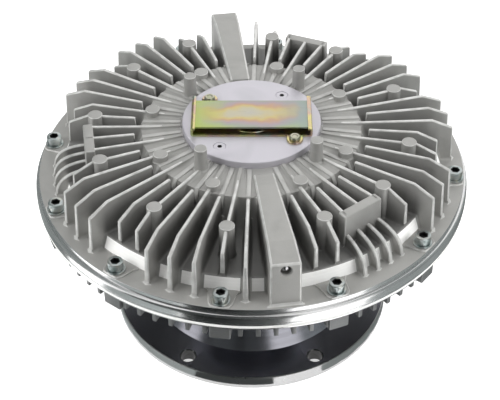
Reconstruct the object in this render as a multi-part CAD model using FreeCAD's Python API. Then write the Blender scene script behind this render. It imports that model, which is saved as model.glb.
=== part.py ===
import FreeCAD, Part
import os
from math import cos, radians, sin, tan

# Viscous fan clutch. Millimetres, origin at the centre of the drive flange's underside,
# +Z up along the spin axis. Angles are in degrees from +X.

os.makedirs("parts", exist_ok=True)
V = FreeCAD.Vector
Z_AXIS = V(0, 0, 1)

# Clearances
fit_gap = 0.05          # running fit of the control pin, on the radius
seat_gap = 0.1          # balls in their races
free_gap = 0.3          # pieces that are laid or dropped into a seat
bury = 1.0              # how far a rib or boss reaches into the wall that carries it

# Drive hub: bolted flange, conical flare, neck and stepped shaft
flange_r = 100.0
flange_t = 10.0
flange_bevel = 1.0
flange_bolts = 6
flange_bolt_circle_r = 90.0
flange_hole_r = 5.5
pilot_r = 35.0
pilot_depth = 8.0
neck_r = 34.0
neck_h = 78.0
flare_foot_r = 74.0
flare_angle = 50.0
flare_round = 30.0
shoulder_r = 30.0
shoulder_t = 4.0

# Ball bearing between the shaft and the housing
bearing_bore_r = 25.0
bearing_outer_r = 45.0
bearing_w = 20.0
inner_ring_t = 6.5
outer_ring_t = 6.5
ball_r = 6.35
balls = 10
cage_t = 3.0
cage_w = 15.2
ball_play = 0.25
seal_t = 1.2
snap_ring_t = 2.0
snap_ring_bite = 2.2
snap_ring_reach = 3.0
snap_ring_open_w = 6.0

# Rotor disc and its nut
rotor_r = 118.5
rotor_back_gap = 1.0
rotor_body_t = 9.5
rotor_hub_r = 31.5
rotor_hub_t = 9.0
rotor_web_r = 72.0
rotor_web_t = 5.0
rotor_web_lift = 6.0
rotor_web_slope = 5.2
rotor_seat_r = 20.0
land_t = 2.6
land_pitch = 7.0
land_h = 5.5
lands = 6
rotor_ports = 6
rotor_port_r = 4.0
nut_r = 23.0
nut_t = 7.0
nut_slots = 4
nut_slot_w = 6.0
nut_slot_depth = 3.0
thread_r = 15.0
shaft_stub = 1.5

# Rear housing
chamber_r = 121.0
chamber_depth = 8.5
rim_r = 150.0
rim_low_r = 147.0
rim_h = 11.0
rim_round = 2.6
rim_line_w = 0.8
rim_line_drop = 6.5
skirt_h = 3.5
skirt_r = 144.0
back_wall = 6.5
boss_r = 56.0
boss_mouth = 2.0
lip_bite = 4.0
lip_t = 4.0
lip_r = 54.0
back_fins = 80
first_back_fin_angle = 1.7
back_fin_t = 2.6
back_fin_h = 7.0
back_fin_in_r = 66.0
short_fin_in_r = 90.0
back_fin_out_r = 145.0
back_fin_bevel = 1.0
screw_boss_w = 13.4
screw_boss_in = 8.0
screw_boss_out = 6.2
fan_bolts = 6
fan_bolt_circle_r = 115.0
fan_pad_r = 10.0
fan_pad_h = 11.0
fan_thread_r = 3.4
fan_thread_depth = 13.0

# Joint of the two housings
joint_rise = 11.5
cover_seal_r = 133.6
cover_seal_w = 2.4
cover_seal_h = 2.0
screws = 12
screw_circle_r = 140.8
first_screw_angle = 22.2
screw_r = 3.0
screw_head_r = 5.0
screw_head_h = 6.0
screw_head_bevel = 0.4
screw_hex = 5.0
screw_hex_depth = 3.0
screw_grip = 13.0
screw_hole_spare = 2.0
washer_r = 6.2
washer_t = 1.0
screw_pad_r = 8.2
screw_pad_root = 12.3
screw_pad_h = 1.1

# Front cover
plate_edge = 6.7
plate_t = 4.0
drum_r = 131.4
drum_top_r = 128.0
drum_h = 9.5
ceiling_gap = 1.0
crown_r = 75.0
crown_h = 20.5
crown_rise = 1.5
crown_foot_r = 93.0
crown_sag_r = 3.0
crown_sag_h = 2.0
reservoir_r = 66.0
crown_wall = 6.0

# Cooling fins: equal pitches, with a thick block in place of some on each side
fin_pitches = 54
block_pitches = 3
block_angle = 98.5
fin_t = 2.2
fin_draft_angle = 1.3
fin_foot_r = 139.8
fin_edge_lean = 1.2
fin_edge_h = 27.0
fin_knee_r = 124.0
fin_top_h = 33.5
fin_root_r = 48.6
crest_drop = 1.0
short_fin_r = 80.0
low_rib_h = 0.8
screw_room_angle = 4.7
cut_fin_knee_r = 113.0

# Thick blocks with the drilled return channels
block_out_r = 143.2
block_in_r = 54.0
block_w_out = 19.5
block_w_in = 14.0
block_h = 35.5
block_slope = 3.0
channel_h = 27.5
channel_r = 3.0
channel_inlet_r = 117.0
plug_r = 3.5
plug_inset = 2.0

# Two-pocket boxes on the cover, with curved ribs under them
boxes = 3
first_box_angle = 68.5
box_out_r = 114.3
box_wall = 6.8
box_ribs = 4
box_rib_step_angle = 4.4
box_rib_t = 3.0
box_rib_foot_r = 136.8
box_rib_h = 18.5
box_rib_end_h = 5.0
box_rib_bulge = 0.72
box_rib_sag = 4.0

# Ejector bosses on the fins, round pads and posts on the crown
boss_fins_half_one = (1, 5, 10, 14, 19, 23)
boss_fins_half_two = (1, 5, 9, 14, 19, 23)
fin_boss_r = 5.25
fin_boss_at = 108.0
fin_boss_rise = 0.8
crown_pad_angles = (28.7, 75.0, 121.0, 167.8, 210.3, 249.0, 297.0, 333.7)
crown_pad_r = 5.0
crown_pad_at = 70.0
crown_pad_h = 4.8
posts = (54.0, 139.5, 234.0, 319.5)
post_r = 4.5
post_at = 56.5
post_h = 16.0
post_bevel = 0.5

# Reservoir side: divider plate, leaf valve and control pin
divider_t = 2.0
divider_seat = 8.0
divider_screws = 6
divider_screw_r = 1.5
divider_screw_head_r = 2.6
divider_screw_head_h = 1.8
divider_screw_grip = 7.0
port_at = 56.0
port_r = 4.5
leaf_t = 0.8
leaf_w = 14.0
leaf_lift = 0.5
leaf_pivot_x = -27.0
leaf_root = 5.0
leaf_tip = 7.0
leaf_corner_r = 6.3
clamp_l = 9.0
clamp_w = 30.0
clamp_t = 1.5
clamp_gap = 0.8
rivet_r = 1.6
rivet_head_r = 2.8
rivet_head_h = 1.0
pin_r = 3.0
pin_head_r = 6.0
pin_head_h = 1.8
bush_r = 6.0
pin_seal_t = 1.8
pin_seal_h = 1.6

# Centre plate, strip holder and bimetal strip on the outside
centre_r = 47.3
centre_t = 4.8
centre_bevel = 0.5
centre_screw_x = 21.2
centre_screw_y = 29.1
centre_screw_r = 2.5
centre_screw_head_r = 4.2
centre_screw_grip = 9.5
centre_hex = 2.5
centre_hex_depth = 1.2
holder_t = 1.4
holder_l = 82.0
holder_w = 38.0
holder_h = 6.6
holder_lip = 3.0
holder_hole_r = 9.0
holder_bead_r = 15.7
holder_bead_w = 2.0
holder_bead_h = 0.5
ear_x = 29.0
ear_y = 22.5
ear_r = 5.5
ear_rivet_r = 2.2
ear_rivet_head_r = 3.8
ear_rivet_head_h = 2.2
ear_rivet_bevel = 0.7
ear_rivet_depth = 2.4
strip_l = 78.0
strip_w = 31.0
strip_t = 1.2

# Heights and radii that follow from the sizes above
bearing_z = flange_t + neck_h
bearing_top = bearing_z + bearing_w
ball_at = (bearing_bore_r + bearing_outer_r) / 2
lip_top = bearing_top + lip_t
joint_z = bearing_top + joint_rise
chamber_floor = joint_z - chamber_depth
rotor_z = chamber_floor + rotor_back_gap
rotor_land_z = rotor_z + rotor_body_t
rotor_top = rotor_land_z + land_h
ceiling_z = rotor_top + ceiling_gap
plate_top = joint_z + plate_t
drum_top = plate_top + drum_h
crown_z = drum_top + crown_h
crown_top = crown_z + crown_rise
reservoir_top = crown_z - crown_wall + crown_rise
divider_top = ceiling_z + divider_t
divider_r = reservoir_r + divider_seat
plate_r = screw_circle_r + plate_edge
screw_seat = plate_top + screw_pad_h
fin_pitch = 360.0 / fin_pitches
fins_per_half = fin_pitches // 2 - block_pitches + 1
fin_top = plate_top + fin_top_h
block_top = plate_top + block_h
channel_z = plate_top + channel_h
box_rib_top = plate_top + box_rib_h
centre_top = crown_top + centre_t
holder_top = centre_top + holder_h
strip_z = holder_top - holder_t - strip_t
leaf_z = divider_top + leaf_lift
leaf_top = leaf_z + leaf_t


def cylinder(radius, z0, z1, at=V(0, 0, 0)):
    return Part.makeCylinder(radius, z1 - z0, V(at.x, at.y, z0), Z_AXIS)


def ring(inner, outer, z0, z1, at=V(0, 0, 0)):
    return cylinder(outer, z0, z1, at).cut(cylinder(inner, z0, z1, at))


def turned(shape, angle):
    copy = shape.copy()
    copy.rotate(V(0, 0, 0), Z_AXIS, angle)
    return copy


def around(shape, count, start=0.0):
    return [turned(shape, start + 360.0 * i / count) for i in range(count)]


def lathe(edges):
    """Solid of revolution about Z from a closed half-section in the XZ plane."""
    return Part.Face(Part.Wire(edges)).revolve(V(0, 0, 0), Z_AXIS, 360)


def path(points):
    """Edges through (r, z) points; a point given as (r, z, mid_r, mid_z) is reached by an arc."""
    edges = []
    last = V(points[0][0], 0, points[0][1])
    for point in points[1:] + points[:1]:
        end = V(point[0], 0, point[1])
        if len(point) == 4:
            edges.append(Part.Arc(last, V(point[2], 0, point[3]), end).toShape())
        else:
            edges.append(Part.makeLine(last, end))
        last = end
    return edges


def section(points, thickness):
    """Flat profile in the XZ plane, thickened evenly to both sides of it."""
    face = Part.Face(Part.Wire(path(points)))
    face.translate(V(0, -thickness / 2, 0))
    return face.extrude(V(0, thickness, 0))


def prism(points, z0, z1):
    """Upright prism from points in the XY plane."""
    wire = Part.makePolygon([V(x, y, z0) for x, y in points + points[:1]])
    return Part.Face(wire).extrude(V(0, 0, z1 - z0))


def joined(base, pieces):
    return base.multiFuse(pieces).removeSplitter()


def save(name, shapes):
    solids = [solid for shape in shapes for solid in shape.Solids]
    shape = solids[0] if len(solids) == 1 else Part.makeCompound(solids)
    if not shape.isValid() or min(solid.Volume for solid in solids) <= 0:
        raise ValueError(name + " is not a sound solid")
    shape.exportStep("parts/" + name + ".step")


def drive_hub():
    """Forged hub: bolt flange with a pilot bore, cone with a round into the neck, stepped shaft."""
    slope = radians(flare_angle)
    half_turn = (radians(90) - slope) / 2
    reach = flare_round * tan(half_turn)
    cone_top = flange_t + (flare_foot_r - neck_r) * tan(slope)
    round_mid_r = neck_r + flare_round * (1 - cos(half_turn))
    round_mid_z = cone_top + reach - flare_round * sin(half_turn)
    shaft_end = bearing_top + rotor_hub_t + nut_t + shaft_stub
    outline = [
        (0, pilot_depth),
        (pilot_r, pilot_depth),
        (pilot_r, 0),
        (flange_r - flange_bevel, 0),
        (flange_r, flange_bevel),
        (flange_r, flange_t - flange_bevel),
        (flange_r - flange_bevel, flange_t),
        (flare_foot_r, flange_t),
        (neck_r + reach * cos(slope), cone_top - reach * sin(slope)),
        (neck_r, cone_top + reach, round_mid_r, round_mid_z),
        (neck_r, bearing_z - shoulder_t),
        (shoulder_r, bearing_z - shoulder_t),
        (shoulder_r, bearing_z),
        (bearing_bore_r, bearing_z),
        (bearing_bore_r, bearing_top),
        (rotor_seat_r, bearing_top),
        (rotor_seat_r, bearing_top + rotor_hub_t),
        (thread_r, bearing_top + rotor_hub_t),
        (thread_r, shaft_end - flange_bevel),
        (thread_r - flange_bevel, shaft_end),
        (0, shaft_end),
    ]
    hole = cylinder(flange_hole_r, -bury, flange_t + bury, V(flange_bolt_circle_r, 0, 0))
    return lathe(path(outline)).cut(Part.makeCompound(around(hole, flange_bolts)))


def race(inner, outer):
    """Bearing ring with the ball groove turned into it."""
    body = ring(inner, outer, bearing_z, bearing_top)
    groove = Part.makeTorus(ball_at, ball_r + seat_gap, V(0, 0, bearing_z + bearing_w / 2), Z_AXIS)
    return body.cut(groove)


def bearing_balls():
    ball = Part.makeSphere(ball_r, V(ball_at, 0, bearing_z + bearing_w / 2))
    return around(ball, balls)


def bearing_cage():
    """One ring with a round pocket for every ball."""
    middle = bearing_z + bearing_w / 2
    body = ring(ball_at - cage_t / 2, ball_at + cage_t / 2, middle - cage_w / 2, middle + cage_w / 2)
    pocket = Part.makeCylinder(ball_r + ball_play, 4 * cage_t, V(ball_at - 2 * cage_t, 0, middle), V(1, 0, 0))
    return body.cut(Part.makeCompound(around(pocket, balls)))


def bearing_seals():
    inner = bearing_bore_r + inner_ring_t + free_gap
    outer = bearing_outer_r - outer_ring_t
    low = ring(inner, outer, bearing_z, bearing_z + seal_t)
    high = ring(inner, outer, bearing_top - seal_t, bearing_top)
    return [low, high]


def snap_ring():
    """Open spring ring that holds the bearing in the housing."""
    outer = bearing_outer_r + snap_ring_bite - free_gap
    body = ring(bearing_outer_r - snap_ring_reach, outer, bearing_z - snap_ring_t, bearing_z)
    gap = Part.makeBox(outer, snap_ring_open_w, snap_ring_t + 2 * bury,
                       V(0, -snap_ring_open_w / 2, bearing_z - snap_ring_t - bury))
    return body.cut(gap)


def rotor():
    """Turned disc with concentric lands that mesh with the rings of the cover."""
    web_z = bearing_top + rotor_web_lift
    outline = [
        (rotor_seat_r, bearing_top),
        (rotor_hub_r, bearing_top),
        (rotor_hub_r, web_z),
        (rotor_web_r - rotor_web_slope, web_z),
        (rotor_web_r, rotor_z),
        (rotor_r, rotor_z),
    ]
    for i in range(lands):
        outer = rotor_r - i * land_pitch
        outline += [
            (outer, rotor_top),
            (outer - land_t, rotor_top),
            (outer - land_t, rotor_land_z),
            (outer - land_pitch, rotor_land_z),
        ]
    outline[-1] = (rotor_web_r, rotor_land_z)
    outline += [
        (rotor_web_r - rotor_web_slope, web_z + rotor_web_t),
        (rotor_hub_r, web_z + rotor_web_t),
        (rotor_hub_r, bearing_top + rotor_hub_t),
        (rotor_seat_r, bearing_top + rotor_hub_t),
    ]
    port_at_r = (rotor_hub_r + rotor_web_r) / 2
    port = cylinder(rotor_port_r, rotor_z - bury, rotor_top, V(port_at_r, 0, 0))
    return lathe(path(outline)).cut(Part.makeCompound(around(port, rotor_ports)))


def rotor_nut():
    low = bearing_top + rotor_hub_t
    body = ring(thread_r, nut_r, low, low + nut_t)
    slot = Part.makeBox(2 * nut_slot_depth, nut_slot_w, 2 * nut_t,
                        V(nut_r - nut_slot_depth, -nut_slot_w / 2, low - nut_t / 2))
    return body.cut(Part.makeCompound(around(slot, nut_slots)))


def rear_housing():
    """Die-cast rear half: bearing boss, oil chamber, machined rim, cooling fins and fan pads."""
    groove_r = bearing_outer_r + snap_ring_bite
    back_z = chamber_floor - back_wall
    rim_low = joint_z - rim_h
    line_z = joint_z - rim_line_drop
    round_mid = rim_round * (1 - cos(radians(45)))
    outline = [
        (bearing_outer_r, bearing_z - snap_ring_t - boss_mouth),
        (bearing_outer_r, bearing_z - snap_ring_t - free_gap / 2),
        (groove_r, bearing_z - snap_ring_t - free_gap / 2),
        (groove_r, bearing_z),
        (bearing_outer_r, bearing_z),
        (bearing_outer_r, bearing_top),
        (bearing_outer_r - lip_bite, bearing_top),
        (bearing_outer_r - lip_bite, lip_top),
        (lip_r, lip_top),
        (lip_r, chamber_floor),
        (chamber_r, chamber_floor),
        (chamber_r, joint_z),
        (cover_seal_r - cover_seal_w / 2, joint_z),
        (cover_seal_r - cover_seal_w / 2, joint_z - cover_seal_h),
        (cover_seal_r + cover_seal_w / 2, joint_z - cover_seal_h),
        (cover_seal_r + cover_seal_w / 2, joint_z),
        (rim_r - rim_round, joint_z),
        (rim_r, joint_z - rim_round, rim_r - round_mid, joint_z - round_mid),
        (rim_r, line_z + rim_line_w),
        (rim_r - rim_line_w, line_z + rim_line_w / 2),
        (rim_r, line_z),
        (rim_r - rim_line_w, rim_low),
        (rim_low_r, rim_low),
        (rim_low_r, rim_low - skirt_h),
        (skirt_r, rim_low - skirt_h),
        (skirt_r, back_z),
        (boss_r + back_wall, back_z),
        (boss_r, back_z - back_wall),
        (boss_r, bearing_z - snap_ring_t - boss_mouth),
    ]
    fin_low = back_z - back_fin_h
    pieces = []
    for i, inner in enumerate((back_fin_in_r, short_fin_in_r)):
        fin = section([
            (inner, back_z + bury),
            (inner, back_z - bury),
            (inner + back_fin_h, fin_low),
            (back_fin_out_r - back_fin_bevel, fin_low),
            (back_fin_out_r, fin_low + back_fin_bevel),
            (back_fin_out_r, back_z + bury),
        ], back_fin_t)
        pieces += around(fin, back_fins // 2, first_back_fin_angle + i * 360.0 / back_fins)
    screw_boss = Part.makeBox(screw_boss_in + screw_boss_out, screw_boss_w, rim_low - fin_low + bury,
                              V(screw_circle_r - screw_boss_in, -screw_boss_w / 2, fin_low - bury))
    pieces += around(screw_boss, screws, first_screw_angle)
    fan_pad = cylinder(fan_pad_r, back_z - fan_pad_h, chamber_floor - bury, V(fan_bolt_circle_r, 0, 0))
    pieces += around(fan_pad, fan_bolts)
    body = joined(lathe(path(outline)), pieces)
    fan_hole = cylinder(fan_thread_r, back_z - fan_pad_h - bury, back_z - fan_pad_h + fan_thread_depth,
                        V(fan_bolt_circle_r, 0, 0))
    screw_hole_low = screw_seat - screw_grip - screw_hole_spare
    screw_hole = cylinder(screw_r, screw_hole_low, joint_z + bury, V(screw_circle_r, 0, 0))
    holes = around(fan_hole, fan_bolts) + around(screw_hole, screws, first_screw_angle)
    return body.cut(Part.makeCompound(holes))


def cover_shell():
    """Turned form of the cover: plate, drum, crown, rings over the rotor and the reservoir."""
    slope_mid_r = (crown_r + crown_foot_r) / 2 - crown_sag_r
    slope_mid_z = (crown_z + drum_top) / 2 - crown_sag_h
    outline = [
        (bush_r, reservoir_top),
        (bush_r, crown_top),
        (centre_r, crown_top),
        (crown_r, crown_z),
        (crown_foot_r, drum_top, slope_mid_r, slope_mid_z),
        (drum_top_r, drum_top),
        (drum_r, plate_top),
        (plate_r, plate_top),
        (plate_r, joint_z),
        (chamber_r, joint_z),
        (chamber_r, ceiling_z),
    ]
    ring_r = rotor_r - land_t - (land_pitch - 2 * land_t) / 2
    for i in range(lands - 1):
        outer = ring_r - i * land_pitch
        outline += [
            (outer, ceiling_z),
            (outer, rotor_land_z + ceiling_gap),
            (outer - land_t, rotor_land_z + ceiling_gap),
            (outer - land_t, ceiling_z),
        ]
    outline += [
        (divider_r, ceiling_z),
        (divider_r, divider_top),
        (reservoir_r, divider_top),
        (reservoir_r, reservoir_top),
    ]
    return lathe(path(outline))


def drafted(points, low, high):
    """Cast rib: a profile that grows thicker from its top edge down, by the draft on each side."""
    spread = (high - low) * sin(radians(fin_draft_angle))
    inner = min(point[0] for point in points) - bury
    outer = max(point[0] for point in points) + bury
    half_top = fin_t / 2
    half_low = half_top + spread
    corners = [V(inner, -half_low, low), V(inner, half_low, low), V(inner, half_top, high),
               V(inner, -half_top, high), V(inner, -half_low, low)]
    wedge = Part.Face(Part.makePolygon(corners)).extrude(V(outer - inner, 0, 0))
    return section(points, 4 * half_low).common(wedge)


def fin(short, cut, boxed):
    """One radial fin. Short fins stop at the crown, cut fins stop at the drum beside a screw."""
    below_floor = drum_top - 2 * bury
    points = [(fin_root_r, crown_z - bury)]
    if short:
        points += [
            (fin_root_r, crown_top + low_rib_h),
            (crown_r, crown_z + low_rib_h),
            (crown_r + bury, crown_z - bury),
            (short_fin_r, crown_z - bury),
            (short_fin_r, fin_top),
        ]
    else:
        points += [(fin_root_r, fin_top - crest_drop)]
    if boxed:
        points += [(box_out_r - bury, fin_top), (box_out_r - bury, below_floor)]
    elif cut:
        points += [
            (cut_fin_knee_r, fin_top),
            (drum_top_r - bury, plate_top + fin_edge_h),
            (drum_top_r - bury / 2, below_floor),
        ]
    else:
        points += [
            (fin_knee_r, fin_top),
            (fin_foot_r - fin_edge_lean, plate_top + fin_edge_h),
            (fin_foot_r, plate_top - bury),
            (drum_r - bury, plate_top - bury),
            (drum_top_r - 2 * bury, below_floor),
        ]
    points += [(crown_foot_r, below_floor), (crown_r, drum_top + bury)]
    return drafted(points, plate_top - bury, fin_top)


def fin_angles():
    """Angle of every fin, with its number in its half: (angle, number, half)."""
    angles = []
    for half in range(2):
        start = block_angle + 180.0 * half + fin_pitch * block_pitches / 2
        for number in range(fins_per_half):
            angles.append(((start + number * fin_pitch) % 360, number, half))
    return angles


def near(angle, first, count, room):
    """Whether an angle lies within some room of one of several evenly spaced places."""
    step = 360.0 / count
    off = (angle - first + step / 2) % step - step / 2
    return abs(off) < room


def cover_fins():
    kinds = {}
    pieces = []
    for angle, number, half in fin_angles():
        boxed = near(angle, first_box_angle, boxes, 1.5 * fin_pitch)
        cut = near(angle, first_screw_angle, screws, screw_room_angle) and not boxed
        kind = (number % 2 == 0, cut, boxed)
        if kind not in kinds:
            kinds[kind] = fin(*kind)
        pieces.append(turned(kinds[kind], angle))
    return pieces


def fin_bosses():
    boss = cylinder(fin_boss_r, drum_top - bury, fin_top + fin_boss_rise, V(fin_boss_at, 0, 0))
    chosen = (boss_fins_half_one, boss_fins_half_two)
    return [turned(boss, angle) for angle, number, half in fin_angles() if number in chosen[half]]


def flow_blocks():
    """Two thick radial blocks that carry the oil return channels."""
    half_in = block_w_in / 2
    half_out = block_w_out / 2
    plan = prism([(block_in_r, -half_in), (block_out_r, -half_out),
                  (block_out_r, half_out), (block_in_r, half_in)], plate_top - bury, block_top)
    side = section([
        (block_in_r, crown_z - 2 * bury),
        (block_in_r, fin_top - crest_drop),
        (fin_knee_r, block_top),
        (block_out_r, block_top - block_slope),
        (block_out_r, plate_top - bury),
        (drum_r - bury, plate_top - bury),
        (drum_top_r - 2 * bury, drum_top - bury),
        (crown_foot_r, drum_top - bury),
        (crown_r, drum_top + bury),
    ], 2 * block_w_out)
    return [turned(plan.common(side), block_angle + 180.0 * half) for half in range(2)]


def channel_slant():
    """Fall of a return channel for each millimetre inwards, to end just under the reservoir's roof."""
    return (reservoir_top - 2 * channel_r - channel_z) / (block_out_r - reservoir_r)


def return_channels():
    """Radial bore through each block into the reservoir, and its inlet from the rotor's rim."""
    slant = channel_slant()
    start = V(block_out_r + bury, 0, channel_z - slant * bury)
    bore = Part.makeCylinder(channel_r, block_out_r - reservoir_r + 2 * bury, start, V(-1, 0, slant))
    mouth = Part.makeCylinder(plug_r, plug_inset + 2 * plug_r + bury, start, V(-1, 0, slant))
    inlet = cylinder(channel_r, ceiling_z - bury, channel_z, V(channel_inlet_r, 0, 0))
    return [turned(Part.makeCompound([bore, mouth, inlet]), block_angle + 180.0 * half) for half in range(2)]


def channel_plugs():
    """Steel balls pressed into the drilled ends of the channels."""
    back = plug_inset + plug_r
    ball = Part.makeSphere(plug_r, V(block_out_r - back, 0, channel_z + channel_slant() * back))
    return [turned(ball, block_angle + 180.0 * half) for half in range(2)]


def boxes_and_ribs():
    half_w = box_out_r * sin(radians(fin_pitch)) + fin_t
    wall = Part.makeBox(box_wall, 2 * half_w, fin_top - drum_top + bury,
                        V(box_out_r - box_wall, -half_w, drum_top - bury))
    arc_mid_r = box_out_r + box_rib_bulge * (box_rib_foot_r - box_out_r)
    rib_low = plate_top - bury
    rib = section([
        (box_out_r - bury, drum_top - bury),
        (box_out_r - bury, box_rib_top),
        (box_rib_foot_r, plate_top + box_rib_end_h, arc_mid_r, box_rib_top - box_rib_sag),
        (box_rib_foot_r, rib_low),
        (drum_r - bury, rib_low),
        (drum_top_r - 2 * bury, drum_top - bury),
    ], box_rib_t)
    pieces = []
    for box in range(boxes):
        centre = first_box_angle + 360.0 * box / boxes
        pieces.append(turned(wall, centre))
        for i in range(box_ribs):
            pieces.append(turned(rib, centre + (i - (box_ribs - 1) / 2) * box_rib_step_angle))
    return pieces


def crown_details():
    pad = cylinder(crown_pad_r, crown_z - 2 * bury, crown_z + crown_pad_h, V(crown_pad_at, 0, 0))
    post = cylinder(post_r, crown_z - bury, crown_top + post_h, V(post_at, 0, 0))
    post = post.makeChamfer(post_bevel, [post.Edges[0]])
    return [turned(pad, angle) for angle in crown_pad_angles] + [turned(post, angle) for angle in posts]


def screw_pads():
    """Raised seats under the screws, each drawn out to the drum wall."""
    eye = cylinder(screw_pad_r, plate_top - bury, screw_seat, V(screw_circle_r, 0, 0))
    tongue = prism([(drum_r - bury, -screw_pad_root), (screw_circle_r, -screw_pad_r),
                    (screw_circle_r, screw_pad_r), (drum_r - bury, screw_pad_root)],
                   plate_top - bury, screw_seat)
    disc = cylinder(plate_r - bury / 2, plate_top - bury, screw_seat)
    return around(eye.fuse(tongue).common(disc), screws, first_screw_angle)


def front_cover():
    """Die-cast cover with its fins, blocks, boxes, bosses, posts, channels and screw holes."""
    pieces = cover_fins() + fin_bosses() + flow_blocks() + boxes_and_ribs()
    pieces += crown_details() + screw_pads()
    body = cover_shell().multiFuse(pieces)
    screw_hole = cylinder(screw_r + free_gap, joint_z - bury, screw_seat + bury, V(screw_circle_r, 0, 0))
    small_hole = cylinder(divider_screw_r, divider_top - bury, divider_top + divider_screw_grip,
                          V(divider_r - divider_seat / 2, 0, 0))
    centre_hole = cylinder(centre_screw_r, crown_top - centre_screw_grip + centre_t, crown_top + bury)
    holes = around(screw_hole, screws, first_screw_angle) + around(small_hole, divider_screws)
    holes += return_channels()
    for side in (-1, 1):
        hole = centre_hole.copy()
        hole.translate(V(side * centre_screw_x, side * centre_screw_y, 0))
        holes.append(hole)
    body = body.cut(Part.makeCompound(holes))
    return max(body.Solids, key=lambda solid: solid.Volume)


def cover_seal():
    """Square-cut rubber ring in the groove of the rear housing."""
    return ring(cover_seal_r - cover_seal_w / 2, cover_seal_r + cover_seal_w / 2,
                joint_z - cover_seal_h, joint_z)


def hexagon(across, z0, z1):
    corner = across / 2 / cos(radians(30))
    points = [(corner * cos(radians(60 * i)), corner * sin(radians(60 * i))) for i in range(6)]
    return prism(points, z0, z1)


def cover_screws():
    """Socket-head screws; each stands on its washer on the cover."""
    seat = screw_seat + washer_t
    top = seat + screw_head_h
    head = cylinder(screw_head_r, seat, top)
    head = head.makeChamfer(screw_head_bevel, [head.Edges[0]])
    socket = hexagon(screw_hex, top - screw_hex_depth, top + bury)
    shank = cylinder(screw_r, screw_seat - screw_grip, seat)
    screw = head.fuse(shank).removeSplitter().cut(socket)
    screw.translate(V(screw_circle_r, 0, 0))
    return around(screw, screws, first_screw_angle)


def cover_washers():
    washer = ring(screw_r, washer_r, screw_seat, screw_seat + washer_t, V(screw_circle_r, 0, 0))
    return around(washer, screws, first_screw_angle)


def divider_plate():
    """Steel plate between the rotor chamber and the reservoir, with the valve port."""
    plate = cylinder(divider_r - free_gap, ceiling_z, divider_top)
    holes = [cylinder(port_r, ceiling_z - bury, divider_top + bury, V(port_at, 0, 0))]
    screw_hole = cylinder(divider_screw_r, ceiling_z - bury, divider_top + bury,
                          V(divider_r - divider_seat / 2, 0, 0))
    holes += around(screw_hole, divider_screws)
    for y in rivet_places():
        holes.append(cylinder(rivet_r, ceiling_z - bury, divider_top + bury, V(leaf_clamp_x(), y, 0)))
    return plate.cut(Part.makeCompound(holes))


def divider_screws_set():
    shank = cylinder(divider_screw_r, ceiling_z, divider_top + divider_screw_grip - bury)
    head = cylinder(divider_screw_head_r, ceiling_z - divider_screw_head_h, ceiling_z)
    screw = shank.fuse(head).removeSplitter()
    screw.translate(V(divider_r - divider_seat / 2, 0, 0))
    return around(screw, divider_screws)


def leaf_clamp_x():
    return leaf_pivot_x - leaf_root / 2


def rivet_places():
    side = (clamp_w + leaf_w) / 4
    return (-side, side)


def valve_leaf():
    """Spring leaf that covers the port; it is bent up from its clamped root."""
    root = leaf_pivot_x - leaf_root
    tip = port_at + leaf_tip
    bar = Part.makeBox(tip - root, leaf_w, leaf_t, V(root, -leaf_w / 2, leaf_z))
    corners = [edge for edge in bar.Edges if edge.BoundBox.ZLength > leaf_t / 2 and edge.CenterOfMass.x > 0]
    return bar.makeFillet(leaf_corner_r, corners)


def leaf_clamp():
    """Bridge over the leaf's root, standing on two feet beside the leaf."""
    top = leaf_top + clamp_gap + clamp_t
    middle = leaf_clamp_x()
    left = middle - clamp_l / 2
    body = Part.makeBox(clamp_l, clamp_w, top - divider_top, V(left, -clamp_w / 2, divider_top))
    tunnel = Part.makeBox(clamp_l + 2 * bury, leaf_w + 2 * free_gap, leaf_top + clamp_gap - divider_top,
                          V(left - bury, -leaf_w / 2 - free_gap, divider_top))
    holes = [cylinder(rivet_r, divider_top - bury, top + bury, V(middle, y, 0)) for y in rivet_places()]
    return body.cut(Part.makeCompound([tunnel] + holes))


def leaf_rivets():
    top = leaf_top + clamp_gap + clamp_t
    rivets = []
    for y in rivet_places():
        at = V(leaf_clamp_x(), y, 0)
        rivet = cylinder(rivet_r, ceiling_z, top, at)
        rivets.append(rivet.fuse(cylinder(rivet_head_r, top, top + rivet_head_h, at)).removeSplitter())
    return rivets


def control_pin():
    """Pin from the bimetal strip down to the valve leaf."""
    head_z = strip_z - pin_head_h
    return cylinder(pin_r, leaf_top, head_z).fuse(cylinder(pin_head_r, head_z, strip_z)).removeSplitter()


def pin_bush():
    body = ring(pin_r + fit_gap, bush_r, reservoir_top, centre_top)
    pocket = cylinder(pin_r + pin_seal_t, centre_top - pin_seal_h, centre_top)
    return body.cut(pocket)


def pin_seal():
    return ring(pin_r + fit_gap, pin_r + pin_seal_t, centre_top - pin_seal_h, centre_top)


def centre_plate():
    """Plated disc on the crown that carries the strip holder."""
    plate = cylinder(centre_r, crown_top, centre_top)
    plate = plate.makeChamfer(centre_bevel, [plate.Edges[0]])
    holes = [cylinder(bush_r, crown_top - bury, centre_top + bury)]
    for side in (-1, 1):
        at = V(side * centre_screw_x, side * centre_screw_y, 0)
        holes.append(cylinder(centre_screw_r, crown_top - bury, centre_top + bury, at))
        holes.append(cylinder(centre_screw_head_r, centre_top - centre_screw_r, centre_top + bury, at))
        ear = V(side * ear_x, -side * ear_y, 0)
        holes.append(cylinder(ear_rivet_r, centre_top - ear_rivet_depth, centre_top + bury, ear))
    return plate.cut(Part.makeCompound(holes))


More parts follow.
